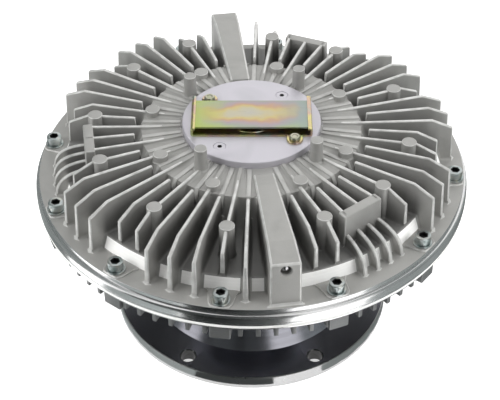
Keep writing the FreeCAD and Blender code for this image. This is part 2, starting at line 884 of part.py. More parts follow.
def centre_screws():
    """Flat-head screws sunk flush into the centre plate."""
    screws_made = []
    top = centre_top - free_gap
    for side in (-1, 1):
        at = V(side * centre_screw_x, side * centre_screw_y, 0)
        shank = cylinder(centre_screw_r, centre_top - centre_screw_grip, centre_top - centre_screw_r, at)
        head = cylinder(centre_screw_head_r, centre_top - centre_screw_r, top, at)
        socket = hexagon(centre_hex, top - centre_hex_depth, top + bury)
        socket.translate(at)
        screws_made.append(head.fuse(shank).removeSplitter().cut(socket))
    return screws_made


def strip_holder():
    """Folded sheet under the strip: base, two upturned ends with lips, and two riveted ears."""
    base_top = centre_top + holder_t
    end_x = holder_l / 2
    base = Part.makeBox(holder_l, holder_w, holder_t, V(-end_x, -holder_w / 2, centre_top))
    pieces = []
    for side in (-1, 1):
        wall_x = min(side * end_x, side * (end_x - holder_t))
        pieces.append(Part.makeBox(holder_t, holder_w, holder_h, V(wall_x, -holder_w / 2, centre_top)))
        lip_x = min(side * end_x, side * (end_x - holder_t - holder_lip))
        pieces.append(Part.makeBox(holder_lip + holder_t, holder_w, holder_t,
                                   V(lip_x, -holder_w / 2, holder_top - holder_t)))
        ear = V(side * ear_x, -side * ear_y, 0)
        pieces.append(cylinder(ear_r, centre_top, base_top, ear))
        neck_y = min(-side * ear_y, 0)
        pieces.append(Part.makeBox(2 * ear_r, ear_y, holder_t, V(side * ear_x - ear_r, neck_y, centre_top)))
    bead_in = holder_bead_r - holder_bead_w / 2
    pieces.append(ring(bead_in, bead_in + holder_bead_w, centre_top, base_top + holder_bead_h))
    body = joined(base, pieces)
    holes = [cylinder(holder_hole_r, centre_top - bury, base_top + bury)]
    for side in (-1, 1):
        ear = V(side * ear_x, -side * ear_y, 0)
        holes.append(cylinder(ear_rivet_r, centre_top - bury, base_top + bury, ear))
    return body.cut(Part.makeCompound(holes))


def holder_rivets():
    rivets = []
    base_top = centre_top + holder_t
    for side in (-1, 1):
        at = V(side * ear_x, -side * ear_y, 0)
        shank = cylinder(ear_rivet_r, centre_top - ear_rivet_depth, base_top, at)
        head = cylinder(ear_rivet_head_r, base_top, base_top + ear_rivet_head_h, at)
        head = head.makeChamfer(ear_rivet_bevel, [head.Edges[0]])
        rivets.append(shank.fuse(head).removeSplitter())
    return rivets


def bimetal_strip():
    return Part.makeBox(strip_l, strip_w, strip_t, V(-strip_l / 2, -strip_w / 2, strip_z))


save("drive_hub", [drive_hub()])
save("bearing_inner_ring", [race(bearing_bore_r, bearing_bore_r + inner_ring_t)])
save("bearing_outer_ring", [race(bearing_outer_r - outer_ring_t, bearing_outer_r)])
save("bearing_balls", bearing_balls())
save("bearing_cage", [bearing_cage()])
save("bearing_seals", bearing_seals())
save("bearing_snap_ring", [snap_ring()])
save("rotor_disc", [rotor()])
save("rotor_nut", [rotor_nut()])
save("rear_housing", [rear_housing()])
save("front_cover", [front_cover()])
save("channel_plugs", channel_plugs())
save("cover_seal", [cover_seal()])
save("cover_screws", cover_screws())
save("cover_washers", cover_washers())
save("divider_plate", [divider_plate()])
save("divider_screws", divider_screws_set())
save("valve_leaf", [valve_leaf()])
save("leaf_clamp", [leaf_clamp()])
save("leaf_rivets", leaf_rivets())
save("control_pin", [control_pin()])
save("pin_bush", [pin_bush()])
save("pin_seal", [pin_seal()])
save("centre_plate", [centre_plate()])
save("centre_screws", centre_screws())
save("strip_holder", [strip_holder()])
save("holder_rivets", holder_rivets())
save("bimetal_strip", [bimetal_strip()])
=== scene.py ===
# %% [markdown]
# # A viscous fan clutch, seen as in a catalogue picture
# The clutch is a flat drum of two cast aluminium halves on a forged steel hub. Fifty thin
# cooling fins stand on the front half, and a bimetal strip in the middle works a small valve.
# The CAD model is loaded first. It says where every piece is, so nothing here needs fitting:
# each piece below is drawn at its place in the same frame, +Z along the spin axis.

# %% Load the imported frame
import math
import bmesh
import bpy
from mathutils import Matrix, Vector


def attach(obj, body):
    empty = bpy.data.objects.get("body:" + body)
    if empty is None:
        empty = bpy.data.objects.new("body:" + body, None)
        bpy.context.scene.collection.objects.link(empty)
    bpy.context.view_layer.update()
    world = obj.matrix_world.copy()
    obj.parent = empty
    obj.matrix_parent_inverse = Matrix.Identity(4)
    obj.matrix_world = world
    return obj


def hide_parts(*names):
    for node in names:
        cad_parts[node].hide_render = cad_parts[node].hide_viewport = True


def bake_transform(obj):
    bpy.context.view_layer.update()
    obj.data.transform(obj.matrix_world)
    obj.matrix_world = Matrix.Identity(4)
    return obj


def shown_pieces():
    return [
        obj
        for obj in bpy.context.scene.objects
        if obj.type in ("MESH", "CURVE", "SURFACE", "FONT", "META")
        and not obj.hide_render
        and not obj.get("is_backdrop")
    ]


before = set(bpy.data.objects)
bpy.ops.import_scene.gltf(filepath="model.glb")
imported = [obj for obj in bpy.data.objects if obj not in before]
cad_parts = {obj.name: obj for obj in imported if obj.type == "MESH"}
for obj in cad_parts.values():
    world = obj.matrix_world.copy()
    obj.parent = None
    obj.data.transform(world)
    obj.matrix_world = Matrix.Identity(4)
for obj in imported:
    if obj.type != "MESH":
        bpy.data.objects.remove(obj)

scene = bpy.context.scene


def new_object(name, data):
    """Object in the scene, at the origin."""
    made = bpy.data.objects.new(name, data)
    scene.collection.objects.link(made)
    return made


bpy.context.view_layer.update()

# %% [markdown]
# ## Camera
# The photograph looks down on the clutch by forty degrees, from about a metre away. A long
# lens keeps the rim's ellipse as flat as it is there. The numbers come from fitting the rim,
# the flange and the screws of the photograph, so they are set and not judged by eye.

# %% Place the camera
camera_data = bpy.data.cameras.new("photo_camera")
camera_data.sensor_width = 36
camera_data.lens = 98.1
camera_data.shift_x = -0.003
camera_data.clip_start = 0.01
camera = new_object("photo_camera", camera_data)
camera.location = (0, -0.7464, 0.7158)
camera.rotation_euler = (math.radians(49.95), 0, 0)
scene.camera = camera
scene.view_settings.view_transform = "Standard"
print("camera at", tuple(camera.location))

# %% [markdown]
# ## Small helpers for node trees
# Every material and every Geometry Nodes tree is a set of nodes with numbers and links. One
# helper adds a node and fills its sockets, so that a recipe below reads like a list: a plain
# value is written into the socket, and a socket of another node is linked to it.

# %% Add a node in one line
def fill(tree, node, sockets):
    """Sockets maps a name or an index to a value, or to an output that is linked to it."""
    for name, value in sockets.items():
        if isinstance(value, bpy.types.NodeSocket):
            tree.links.new(value, node.inputs[name])
        else:
            node.inputs[name].default_value = value
    return node


def add(tree, kind, sockets=None, **settings):
    """New node with its settings and its sockets filled."""
    made = tree.nodes.new(kind)
    for name, value in settings.items():
        setattr(made, name, value)
    return fill(tree, made, sockets or {})


def arithmetic(tree, operation, *terms, clamp=False):
    """Result of one sum on values or sockets."""
    sockets = dict(enumerate(terms))
    return add(tree, "ShaderNodeMath", sockets, operation=operation, use_clamp=clamp).outputs[0]


def remap(tree, value, low, high, new_low=0.0, new_high=1.0):
    """A value moved from one range to another and kept inside it."""
    return add(tree, "ShaderNodeMapRange", {
        "Value": value, "From Min": low, "From Max": high, "To Min": new_low, "To Max": new_high,
    }).outputs["Result"]


def spread(tree, value, low, high):
    """A value from 0 to 1 moved to another range."""
    return remap(tree, value, 0.0, 1.0, low, high)


def noise(tree, place, scale, detail, **more):
    """Soft noise from 0 to 1 over the surface."""
    sockets = {"Vector": place, "Scale": scale, "Detail": detail, **more}
    return add(tree, "ShaderNodeTexNoise", sockets).outputs["Fac"]


def blended(tree, factor, first, second):
    """Colour between two colours or sockets."""
    return add(tree, "ShaderNodeMix", {0: factor, 6: first, 7: second}, data_type="RGBA").outputs[2]


def ramp(tree, value, stops):
    """Colour read from a row of (position, colour) stops."""
    made = add(tree, "ShaderNodeValToRGB", {"Fac": value})
    bar = made.color_ramp.elements
    while len(bar) < len(stops):
        bar.new(0.5)
    for element, (place, colour) in zip(bar, stops):
        element.position = place
        element.color = colour
    return made.outputs["Color"]


def grey(level, blue=0.0, red=0.0):
    """Colour near grey, pushed a little to blue or red."""
    return (level + red, level, level + blue, 1)


def bare(owner):
    """Empty node tree of a world or a material."""
    owner.use_nodes = True
    owner.node_tree.nodes.clear()
    return owner.node_tree


print("node helpers ready")

# %% [markdown]
# ## Light and background
# The picture was lit softly from the left and the right against plain white. The world gives
# an even light, and it is plain white where the camera or a reflection looks at it, so the
# bright bands on the turned metal are the white surroundings. The lamps give soft light from
# the sides and don't show in reflections. Cards that only show there give the dark bands.

# %% Light the scene
world = bpy.data.worlds.new("studio")
sky = bare(world)
ray = add(sky, "ShaderNodeLightPath").outputs
seen = arithmetic(sky, "MAXIMUM", ray["Is Camera Ray"], ray["Is Glossy Ray"])
seen = arithmetic(sky, "MAXIMUM", seen, ray["Is Transmission Ray"])
soft = add(sky, "ShaderNodeBackground", {"Color": grey(0.46), "Strength": 1.0})
white = add(sky, "ShaderNodeBackground", {"Color": grey(1.0), "Strength": 1.0})
choice = add(sky, "ShaderNodeMixShader", {0: seen, 1: soft.outputs[0], 2: white.outputs[0]})
add(sky, "ShaderNodeOutputWorld", {"Surface": choice.outputs[0]})
scene.world = world


def lamp(name, place, size, power):
    """Square area lamp that looks at the clutch's middle."""
    data = bpy.data.lights.new(name, "AREA")
    data.size = size
    data.energy = power
    made = new_object(name, data)
    made.location = place
    towards = Vector((0, 0, 0.12)) - Vector(place)
    made.rotation_euler = towards.to_track_quat("-Z", "Y").to_euler()
    made.visible_glossy = False


lamp("left_softbox", (-0.9, -0.25, 0.75), 0.7, 10.0)
lamp("right_softbox", (0.9, -0.15, 0.65), 0.7, 9.0)
lamp("top_softbox", (0.1, 0.5, 1.2), 0.8, 0.8)
print("lamps:", len(bpy.data.lights))

# %% Cards that only show in reflections
def plain_card(name, low, high):
    """Dim glow for a card, uneven like a room that is out of focus."""
    made = bpy.data.materials.new(name)
    tree = bare(made)
    blur = noise(tree, add(tree, "ShaderNodeTexCoord").outputs["Object"], 3.0, 1.0)
    level = remap(tree, blur, 0.4, 0.62, low, high)
    glow = add(tree, "ShaderNodeEmission", {"Color": (0.92, 1.0, 0.99, 1), "Strength": level})
    add(tree, "ShaderNodeOutputMaterial", {"Surface": glow.outputs[0]})
    return made


def card(name, material, *rows):
    """Sheet swept round the axis; a row is (distance, height, first angle, last angle) from -Y."""
    steps = 12
    corners = []
    for distance, height, first, last in rows:
        for k in range(steps + 1):
            turn = math.radians(first + (last - first) * k / steps)
            corners.append((distance * math.sin(turn), -distance * math.cos(turn), height))
    faces = []
    for i in range(len(rows) - 1):
        for k in range(steps):
            at = i * (steps + 1) + k
            faces.append((at, at + 1, at + steps + 2, at + steps + 1))
    mesh = bpy.data.meshes.new(name)
    mesh.from_pydata(corners, [], faces)
    mesh.materials.append(material)
    made = new_object(name, mesh)
    made.visible_camera = False
    made.visible_diffuse = False
    made.visible_shadow = False
    made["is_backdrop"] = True


inner, wide, far = 0.1003, 0.27, 1.3
low, high, roof = 0.003, 1.0, 2.6
dark_card = plain_card("dark_card", 0.01, 0.09)
dim_card = plain_card("dim_card", 0.02, 0.12)
side_card = plain_card("side_card", 0.18, 0.36)
pale_card = plain_card("pale_card", 0.34, 0.54)
card("dark_floor", dark_card, (inner, low, -24, 9), (wide, low, -26, 14), (0.6, low, -29, 18))
card("left_floor", pale_card, (inner, low, -88, -24), (0.14, low, -85, -25), (0.2, low, -60, -26),
     (0.6, low, -60, -29))
card("front_wall", dim_card, (0.6, low, -60, 18), (far, low, -58, 21), (far, high, -57, 21))
card("dark_roof", dark_card, (far, high, -57, 21), (far, roof, -57, 21), (-0.9, roof, -57, 21))
card("right_side", side_card, (inner, low, 30, 150), (wide, low, 44, 140), (far, low, 54, 130),
     (far, roof, 54, 130))
card("left_side", side_card, (inner, low, -150, -90), (wide, low, -150, -80), (far, low, -160, -78),
     (far, roof, -160, -78))
print("cards: 6")

# %% [markdown]
# ## Floor
# The clutch stands on the face of its flange on a plain white sheet. The floor's own colour is
# nearly white, so the background stays white and still takes the soft shadow of the flange.

# %% Lay the floor
floor_mesh = bpy.data.meshes.new("floor")
half = 3.0
corners = [(-half, -half, 0), (half, -half, 0), (half, half, 0), (-half, half, 0)]
floor_mesh.from_pydata(corners, [], [(0, 1, 2, 3)])
floor = new_object("floor", floor_mesh)
paper = bpy.data.materials.new("paper")
sheet = bare(paper)
ray = add(sheet, "ShaderNodeLightPath").outputs
matt = add(sheet, "ShaderNodeBsdfDiffuse", {"Color": grey(0.86)})
glow = add(sheet, "ShaderNodeEmission", {"Color": grey(1.0), "Strength": 0.62})
both = add(sheet, "ShaderNodeAddShader", {0: matt.outputs[0], 1: glow.outputs[0]})
direct = arithmetic(sheet, "MAXIMUM", ray["Is Camera Ray"], ray["Is Glossy Ray"])
page = add(sheet, "ShaderNodeMixShader", {0: direct, 1: matt.outputs[0], 2: both.outputs[0]})
add(sheet, "ShaderNodeOutputMaterial", {"Surface": page.outputs[0]})
floor_mesh.materials.append(paper)
floor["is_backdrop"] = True
print("floor:", 2 * half, "m wide")

# %% [markdown]
# ## Shared surface effects
# Metals differ in colour, but they share their marks: the sandy skin of a die casting, the fine
# rings that a lathe tool leaves, and edges that are rubbed bright. Each is a shader group
# with named inputs, built once and placed in every material that needs it with its own values.

# %% Group: grain of a casting
def group(name, inputs, outputs):
    """Empty shader group of numbers and one Vector; gives the tree, its inputs and its output node."""
    tree = bpy.data.node_groups.new(name, "ShaderNodeTree")
    for side, titles in (("INPUT", inputs), ("OUTPUT", outputs)):
        for title in titles:
            kind = "NodeSocketVector" if title == "Vector" else "NodeSocketFloat"
            tree.interface.new_socket(title, in_out=side, socket_type=kind)
    return tree, tree.nodes.new("NodeGroupInput").outputs, tree.nodes.new("NodeGroupOutput")


cast_grain, given, result = group("cast grain", ("Vector", "Scale"), ("Height", "Shade", "Stain"))
fine = noise(cast_grain, given["Vector"], given["Scale"], 4.0, Roughness=0.65)
wide_scale = arithmetic(cast_grain, "MULTIPLY", given["Scale"], 0.045)
wide = noise(cast_grain, given["Vector"], wide_scale, 5.0, Distortion=0.4)
pit_scale = arithmetic(cast_grain, "MULTIPLY", given["Scale"], 0.4)
pits = add(cast_grain, "ShaderNodeTexVoronoi", {"Vector": given["Vector"], "Scale": pit_scale})
pit = remap(cast_grain, pits.outputs["Distance"], 0.05, 0.22)
bumps = arithmetic(cast_grain, "MULTIPLY", fine, 0.7)
fill(cast_grain, result, {"Height": arithmetic(cast_grain, "MULTIPLY_ADD", pit, 0.3, bumps),
                          "Shade": remap(cast_grain, wide, 0.3, 0.7),
                          "Stain": remap(cast_grain, wide, 0.5, 0.72)})
print("group:", cast_grain.name)

# %% Group: rings left by the lathe tool
# The rings depend on the radius and on the height only, so one group serves faces and rims.
def around_axis(tree, place):
    """Distance from the spin axis, and height."""
    parts = add(tree, "ShaderNodeSeparateXYZ", {0: place}).outputs
    flat = add(tree, "ShaderNodeCombineXYZ", {"X": parts["X"], "Y": parts["Y"]}).outputs[0]
    return add(tree, "ShaderNodeVectorMath", {0: flat}, operation="LENGTH").outputs["Value"], parts["Z"]


turned_lines, given, result = group("turned lines", ("Vector", "Lines per metre"), ("Height", "Shade"))
travel = arithmetic(turned_lines, "ADD", *around_axis(turned_lines, given["Vector"]))
lines = arithmetic(turned_lines, "MULTIPLY", travel, given["Lines per metre"])
cut = {"W": lines, "Scale": 1.0, "Detail": 3.0}
cut = add(turned_lines, "ShaderNodeTexNoise", cut, noise_dimensions="1D")
patch = noise(turned_lines, given["Vector"], 24.0, 3.0)
fill(turned_lines, result, {"Height": cut.outputs["Fac"], "Shade": patch})
print("group:", turned_lines.name)

# %% Group: bright edges, rubbed wear and painted highlight
# The mesh code below marks the rounded edges of a casting in an attribute. The group breaks that
# mark up with noise, so that the bright line comes and goes as it does on a blasted casting; the line is
# partly rubbed wear, partly painted highlight.
edge_wear_and_highlight, given, result = group("edge wear and highlight", ("Vector", "Edge", "Amount"), ("Mask",))
patchy_noise = remap(edge_wear_and_highlight, noise(edge_wear_and_highlight, given["Vector"], 140.0, 3.0), 0.3, 0.62, 0.45)
mask = arithmetic(edge_wear_and_highlight, "MULTIPLY", patchy_noise, given["Edge"])
fill(edge_wear_and_highlight, result, {"Mask": arithmetic(edge_wear_and_highlight, "MULTIPLY", mask, given["Amount"], clamp=True)})
print("group:", edge_wear_and_highlight.name)

# %% Group: painted shade deep between the fins
# The cast colour is painted darker deep between the fins, as painted shade. The mask
# grows from the fins' crests down to the drum's floor, and is nothing outside the fins' ring.
painted_gap_shade, given, result = group("painted gap shade", ("Vector", "Inner", "Outer", "Low", "High"), ("Mask",))
radius, height = around_axis(painted_gap_shade, given["Vector"])
full = arithmetic(painted_gap_shade, "ADD", given["Inner"], 0.012)
gone = arithmetic(painted_gap_shade, "ADD", given["Outer"], 0.004)
ring = arithmetic(painted_gap_shade, "MULTIPLY", remap(painted_gap_shade, radius, given["Inner"], full),
                  remap(painted_gap_shade, radius, gone, given["Outer"]))
depth = remap(painted_gap_shade, height, given["High"], given["Low"])
fill(painted_gap_shade, result, {"Mask": arithmetic(painted_gap_shade, "MULTIPLY", ring, depth)})
print("group:", painted_gap_shade.name)

# %% [markdown]
# ## Metals
# A metal's look is mostly what it mirrors, so its colour, its roughness and its fine relief all
# matter. The shader stays in the material itself; the groups only hand it colours, masks and
# heights. Patterns read Object coordinates, in metres, so they sit still on the piece.

# %% Start a material and finish it
def start(name, metallic=0.0):
    """Material with a Principled shader; gives the material, its tree, the shader, its coordinates."""
    made = bpy.data.materials.new(name)
    tree = bare(made)
    shader = add(tree, "ShaderNodeBsdfPrincipled", {"Metallic": metallic})
    add(tree, "ShaderNodeOutputMaterial", {"Surface": shader.outputs[0]})
    return made, tree, shader, add(tree, "ShaderNodeTexCoord").outputs["Object"]


def use_group(tree, source, place, **sockets):
    """A shared effect placed in a material, with its own values; gives its outputs."""
    named = {title.replace("_", " "): value for title, value in sockets.items()}
    return add(tree, "ShaderNodeGroup", {"Vector": place, **named}, node_tree=source).outputs


def surface(tree, shader, colour, roughness, height, depth, strength=1.0):
    """Colour, roughness and fine bumps of a given depth in metres, fed to the shader."""
    bump = add(tree, "ShaderNodeBump", {"Height": height, "Distance": depth, "Strength": strength})
    fill(tree, shader, {"Base Color": colour, "Roughness": roughness, "Normal": bump.outputs[0]})


print("material helpers ready")

# %% Cast aluminium
# Die-cast skin, blasted to an even mid grey, with soft stains, bright edges that are partly rubbed wear and
# partly painted highlight, and painted shade deep between the fins.
def cast_material(name, dark, light, edge, rough):
    made, tree, shader, place = start(name, 0.5)
    grain = use_group(tree, cast_grain, place, Scale=900.0)
    mark = add(tree, "ShaderNodeAttribute", attribute_name="edge").outputs["Fac"]
    wear_and_highlight_mask = use_group(tree, edge_wear_and_highlight, place, Edge=mark, Amount=0.9)["Mask"]
    gap_shade = use_group(tree, painted_gap_shade, place, Inner=0.074, Outer=0.1262, Low=0.134, High=0.156)["Mask"]
    body = blended(tree, grain["Shade"], dark, light)
    body = blended(tree, spread(tree, grain["Height"], 0.0, 0.35), body, grey(0.46, -0.02))
    stained = arithmetic(tree, "MULTIPLY", grain["Stain"], 0.35)
    body = blended(tree, stained, body, grey(0.17, -0.01, 0.005))
    # Painted shade: the colour goes half way to near black deep between the fins.
    body = blended(tree, arithmetic(tree, "MULTIPLY", gap_shade, 0.5), body, grey(0.09))
    sandy = spread(tree, grain["Height"], rough - 0.06, rough + 0.08)
    # Edges with rubbed wear and painted highlight: less rough, and a bright colour below.
    roughness = arithmetic(tree, "ADD", sandy, arithmetic(tree, "MULTIPLY", wear_and_highlight_mask, -0.14))
    surface(tree, shader, blended(tree, wear_and_highlight_mask, body, edge), roughness, grain["Height"], 0.00012)
    return made


cast_aluminium = cast_material("cast_aluminium", grey(0.36, -0.014, 0.004), grey(0.46, -0.016, 0.004),
                               grey(0.78, -0.02), 0.44)
# The rear housing's skin: the same casting painted far darker, as painted shade under the rim.
painted_shade_casting = cast_material("painted_shade_casting", grey(0.10, 0.006, -0.006), grey(0.15, 0.006, -0.006),
                             grey(0.26), 0.44)
print("materials:", cast_aluminium.name, painted_shade_casting.name)

# %% Turned aluminium and turned steels
# These are all cut on a lathe: the same rings, with other colours and another shine.
def turned_material(name, dark, light, rough, depth, pitch, metallic=1.0):
    made, tree, shader, place = start(name, metallic)
    rings = use_group(tree, turned_lines, place, Lines_per_metre=pitch)
    grain = use_group(tree, cast_grain, place, Scale=500.0)
    mottle = arithmetic(tree, "MULTIPLY", rings["Height"], rings["Shade"])
    colour = blended(tree, spread(tree, mottle, 0.0, 3.0), dark, light)
    roughness = arithmetic(tree, "MULTIPLY_ADD", grain["Shade"], 0.08, rough)
    surface(tree, shader, colour, roughness, rings["Height"], depth, 0.6)
    return made


machined_aluminium = turned_material("machined_aluminium", grey(0.70), grey(0.86), 0.17, 0.00003, 1400.0)
forged_steel = turned_material("forged_steel", grey(0.34, 0.035), grey(0.48, 0.05), 0.16, 0.00002, 1100.0)
flange_edge = turned_material("flange_edge", grey(0.42), grey(0.56), 0.24, 0.00003, 1500.0)
# Near black: painted shade in the flange's bolt holes.
painted_hole_shade = turned_material("painted_hole_shade", grey(0.02), grey(0.12), 0.12, 0.00006, 700.0)
# Near black: painted shade in the screws' recesses.
painted_recess_shade = turned_material("painted_recess_shade", grey(0.05), grey(0.12), 0.4, 0.00003, 2500.0)
# Near-white matt, no metal: a painted bright reflection on turned walls.
painted_highlight_white = turned_material("painted_highlight_white", grey(0.92, -0.02), grey(0.98, -0.02), 0.5, 0.00002, 900.0, 0.0)
bearing_steel = turned_material("bearing_steel", grey(0.50, 0.01), grey(0.62, 0.01), 0.16, 0.00001, 2000.0)
bush_brass = turned_material("bush_brass", (0.60, 0.42, 0.16, 1), (0.74, 0.55, 0.24, 1), 0.25, 0.00002,
                             1600.0)
spring_steel = turned_material("spring_steel", grey(0.20, 0.02), grey(0.33, 0.03), 0.3, 0.00002, 900.0)
print("turned materials: 9")

# %% Zinc plate on screws, washers and rivets
# Clear zinc is a bluish white with yellow and green clouds, a little different from one spot to
# the next.
def plated_material(name, tints, rough, metallic, scale=160.0):
    made, tree, shader, place = start(name, metallic)
    cloud = noise(tree, place, scale, 3.0, Distortion=0.8)
    grain = use_group(tree, cast_grain, place, Scale=1600.0)["Height"]
    colour = ramp(tree, cloud, [(0.3 + 0.4 * i / (len(tints) - 1), tint) for i, tint in enumerate(tints)])
    surface(tree, shader, colour, spread(tree, grain, rough - 0.05, rough + 0.08), grain, 0.00003, 0.5)
    return made


zinc_steel = plated_material("zinc_steel", [
    (0.40, 0.48, 0.46, 1), (0.56, 0.60, 0.60, 1), (0.64, 0.64, 0.57, 1)], 0.28, 1.0)
centre_zinc = plated_material("centre_zinc", [
    (0.58, 0.57, 0.61, 1), (0.64, 0.62, 0.67, 1), (0.62, 0.61, 0.65, 1)], 0.36, 0.6, 30.0)
yellow_chromate = plated_material("yellow_chromate", [
    (0.62, 0.70, 0.34, 1), (0.80, 0.72, 0.32, 1), (0.72, 0.52, 0.42, 1), (0.52, 0.60, 0.50, 1),
], 0.22, 1.0, 70.0)
rivet_zinc = plated_material("rivet_zinc", [
    (0.50, 0.52, 0.36, 1), (0.62, 0.60, 0.48, 1), (0.66, 0.62, 0.50, 1)], 0.3, 1.0, 120.0)
print("plated materials: 4")

# %% Rainbow skin of the bimetal strip
# Heat leaves the strip with a thin oxide, and its colours run in wide bent bands: yellow in the
# middle, a pink and orange arc round it, and greener ends. A ramp is read by the distance from
# the strip's middle, bent by slow noise, and each end takes its own tint over it.
bimetal, tree, shader, place = start("bimetal", 0.9)
centred = add(tree, "ShaderNodeMapping", {"Vector": place, "Location": (0.02, -0.05, 0.0),
                                          "Scale": (20.0, 62.0, 20.0), "Rotation": (0, 0, math.radians(-9))})
bend = noise(tree, place, 55.0, 2.0)
moves = [("SUBTRACT", (0.5, 0.5, 0.5)), ("MULTIPLY", (0.9, 0.9, 0.9)), ("ADD", centred.outputs[0]),
         ("MULTIPLY", (1, 1, 0))]
reach = bend.node.outputs["Color"]
for operation, second in moves:
    reach = add(tree, "ShaderNodeVectorMath", {0: reach, 1: second}, operation=operation).outputs[0]
reach = add(tree, "ShaderNodeVectorMath", {0: reach}, operation="LENGTH").outputs["Value"]
bands = ramp(tree, arithmetic(tree, "MULTIPLY", reach, 0.7), [
    (0.00, (0.56, 0.54, 0.47, 1)), (0.18, (0.60, 0.56, 0.42, 1)), (0.32, (0.66, 0.54, 0.26, 1)),
    (0.42, (0.60, 0.40, 0.28, 1)), (0.52, (0.48, 0.40, 0.43, 1)), (0.64, (0.42, 0.45, 0.38, 1)),
    (0.80, (0.46, 0.53, 0.25, 1)), (1.00, (0.52, 0.60, 0.12, 1))])
along = add(tree, "ShaderNodeSeparateXYZ", {"Vector": place}).outputs["X"]
ragged = arithmetic(tree, "MULTIPLY_ADD", bend, 0.02, along)
bands = blended(tree, remap(tree, ragged, 0.026, 0.042, 0.0, 0.85), bands, (0.38, 0.45, 0.42, 1))
bands = blended(tree, remap(tree, ragged, -0.006, -0.026, 0.0, 0.8), bands, (0.50, 0.60, 0.16, 1))
brushed = add(tree, "ShaderNodeMapping", {"Vector": place, "Scale": (40.0, 2600.0, 40.0)})
rolled = noise(tree, brushed.outputs[0], 1.0, 2.0)
surface(tree, shader, bands, spread(tree, rolled, 0.24, 0.36), rolled, 0.00001, 0.4)
print("material:", bimetal.name)

# %% Rubber and cage plastic
# Seals are black rubber with a dull skin, and the ball cage is a brown filled plastic.
def soft_material(name, dark, light, rough):
    made, tree, shader, place = start(name)
    grain = use_group(tree, cast_grain, place, Scale=1300.0)
    roughness = spread(tree, grain["Height"], rough - 0.1, rough + 0.1)
    surface(tree, shader, blended(tree, grain["Shade"], dark, light), roughness, grain["Height"], 0.00004)
    return made


seal_rubber = soft_material("seal_rubber", grey(0.012), grey(0.03), 0.6)
cage_plastic = soft_material("cage_plastic", (0.10, 0.06, 0.03, 1), (0.16, 0.10, 0.05, 1), 0.5)
print("materials in all:", len(bpy.data.materials))

# %% [markdown]
# ## Drawing in mesh code
# Sizes are written in millimetres, as on a drawing, and turned into metres when the mesh is
# made. Three shapes make nearly the whole clutch: a lathed ring, a flat rib with rounded edges,
# and the small hollow fillet that joins a rib to the wall below it.

# %% Sizes that several pieces share
mm = 0.001
merge_distance = 1e-7
joint_z = 119.5
plate_top = 123.5
drum_top = 133.0
crown_z = 153.5
crown_top = 155.0
fin_top = 157.0
disc_top = 159.8
disc_r = 47.3
drum_r = 128.0
wall_r = 131.4
dome_r = 75.0
floor_r = 93.0
screw_r = 140.8
screw_count = 12
first_screw = 22.2
block_angle = 98.5
box_angle = 68.5
print("fins' crests at", fin_top, "mm")

# %% Objects and lathed pieces
def finish_mesh(name, bm, materials, sharp=40.0):
    """Object at the origin from a bmesh, smooth except over sharp corners."""
    bmesh.ops.remove_doubles(bm, verts=bm.verts, dist=merge_distance)
    bmesh.ops.recalc_face_normals(bm, faces=bm.faces)
    mesh = bpy.data.meshes.new(name)
    bm.to_mesh(mesh)
    bm.free()
    for material in materials:
        mesh.materials.append(material)
    for polygon in mesh.polygons:
        polygon.use_smooth = True
    mesh.set_sharp_from_angle(angle=math.radians(sharp))
    return new_object(name, mesh)


def quarter(steps):
    """Angles from nothing to a right angle."""
    return [math.pi / 2 * k / steps for k in range(steps + 1)]


def bow(a, b, c, steps):
    """Points on a curve from a to c that leans towards b."""
    points = []
    for k in range(steps + 1):
        t = k / steps
        points.append(tuple(p * (1 - t) ** 2 + 2 * t * (1 - t) * q + r * t * t for p, q, r in zip(a, b, c)))
    return points


def softened(outline, steps=4):
    """The closed outline with each corner rounded by its third number, a radius."""
    rounded = []
    for i, corner in enumerate(outline):
        here = Vector(corner[:2])
        before = Vector(outline[i - 1][:2]) - here
        after = Vector(outline[(i + 1) % len(outline)][:2]) - here
        if corner[2] <= 0 or min(before.length, after.length) < 1e-6:
            rounded.append(tuple(here))
            continue
        half_turn = before.angle(after) / 2
        reach = min(corner[2] / max(math.tan(half_turn), 1e-3), 0.45 * before.length, 0.45 * after.length)
        rounded += bow(here + before.normalized() * reach, here, here + after.normalized() * reach, steps)
    return rounded


def add_lathe(bm, outline, segments, at=(0, 0), material_of=None):
    """Closed (r, z) outline turned about a vertical axis; a third number gives a ring that many flats."""
    rings = []
    for r, z, *flats in outline:
        ring = []
        for s in range(segments):
            angle = 2 * math.pi * s / segments
            out = r
            if flats:
                sector = 2 * math.pi / flats[0]
                out = r / math.cos((angle % sector) - sector / 2)
            x, y = at[0] + out * math.cos(angle), at[1] + out * math.sin(angle)
            ring.append(bm.verts.new((x * mm, y * mm, z * mm)))
        rings.append(ring)
    for i, ring in enumerate(rings):
        following = (i + 1) % len(rings)
        if max(outline[i][0], outline[following][0]) < 1e-6:
            continue
        for s in range(segments):
            t = (s + 1) % segments
            face = bm.faces.new((ring[s], ring[t], rings[following][t], rings[following][s]))
            if material_of:
                face.material_index = material_of(outline[i], outline[following])


def lathed(name, outline, materials, segments=192, at=(0, 0), material_of=None, sharp=40.0):
    """One lathed piece as an object."""
    bm = bmesh.new()
    add_lathe(bm, outline, segments, at, material_of)
    bmesh.ops.dissolve_degenerate(bm, dist=merge_distance, edges=bm.edges)
    return finish_mesh(name, bm, materials, sharp)


print("lathe ready")

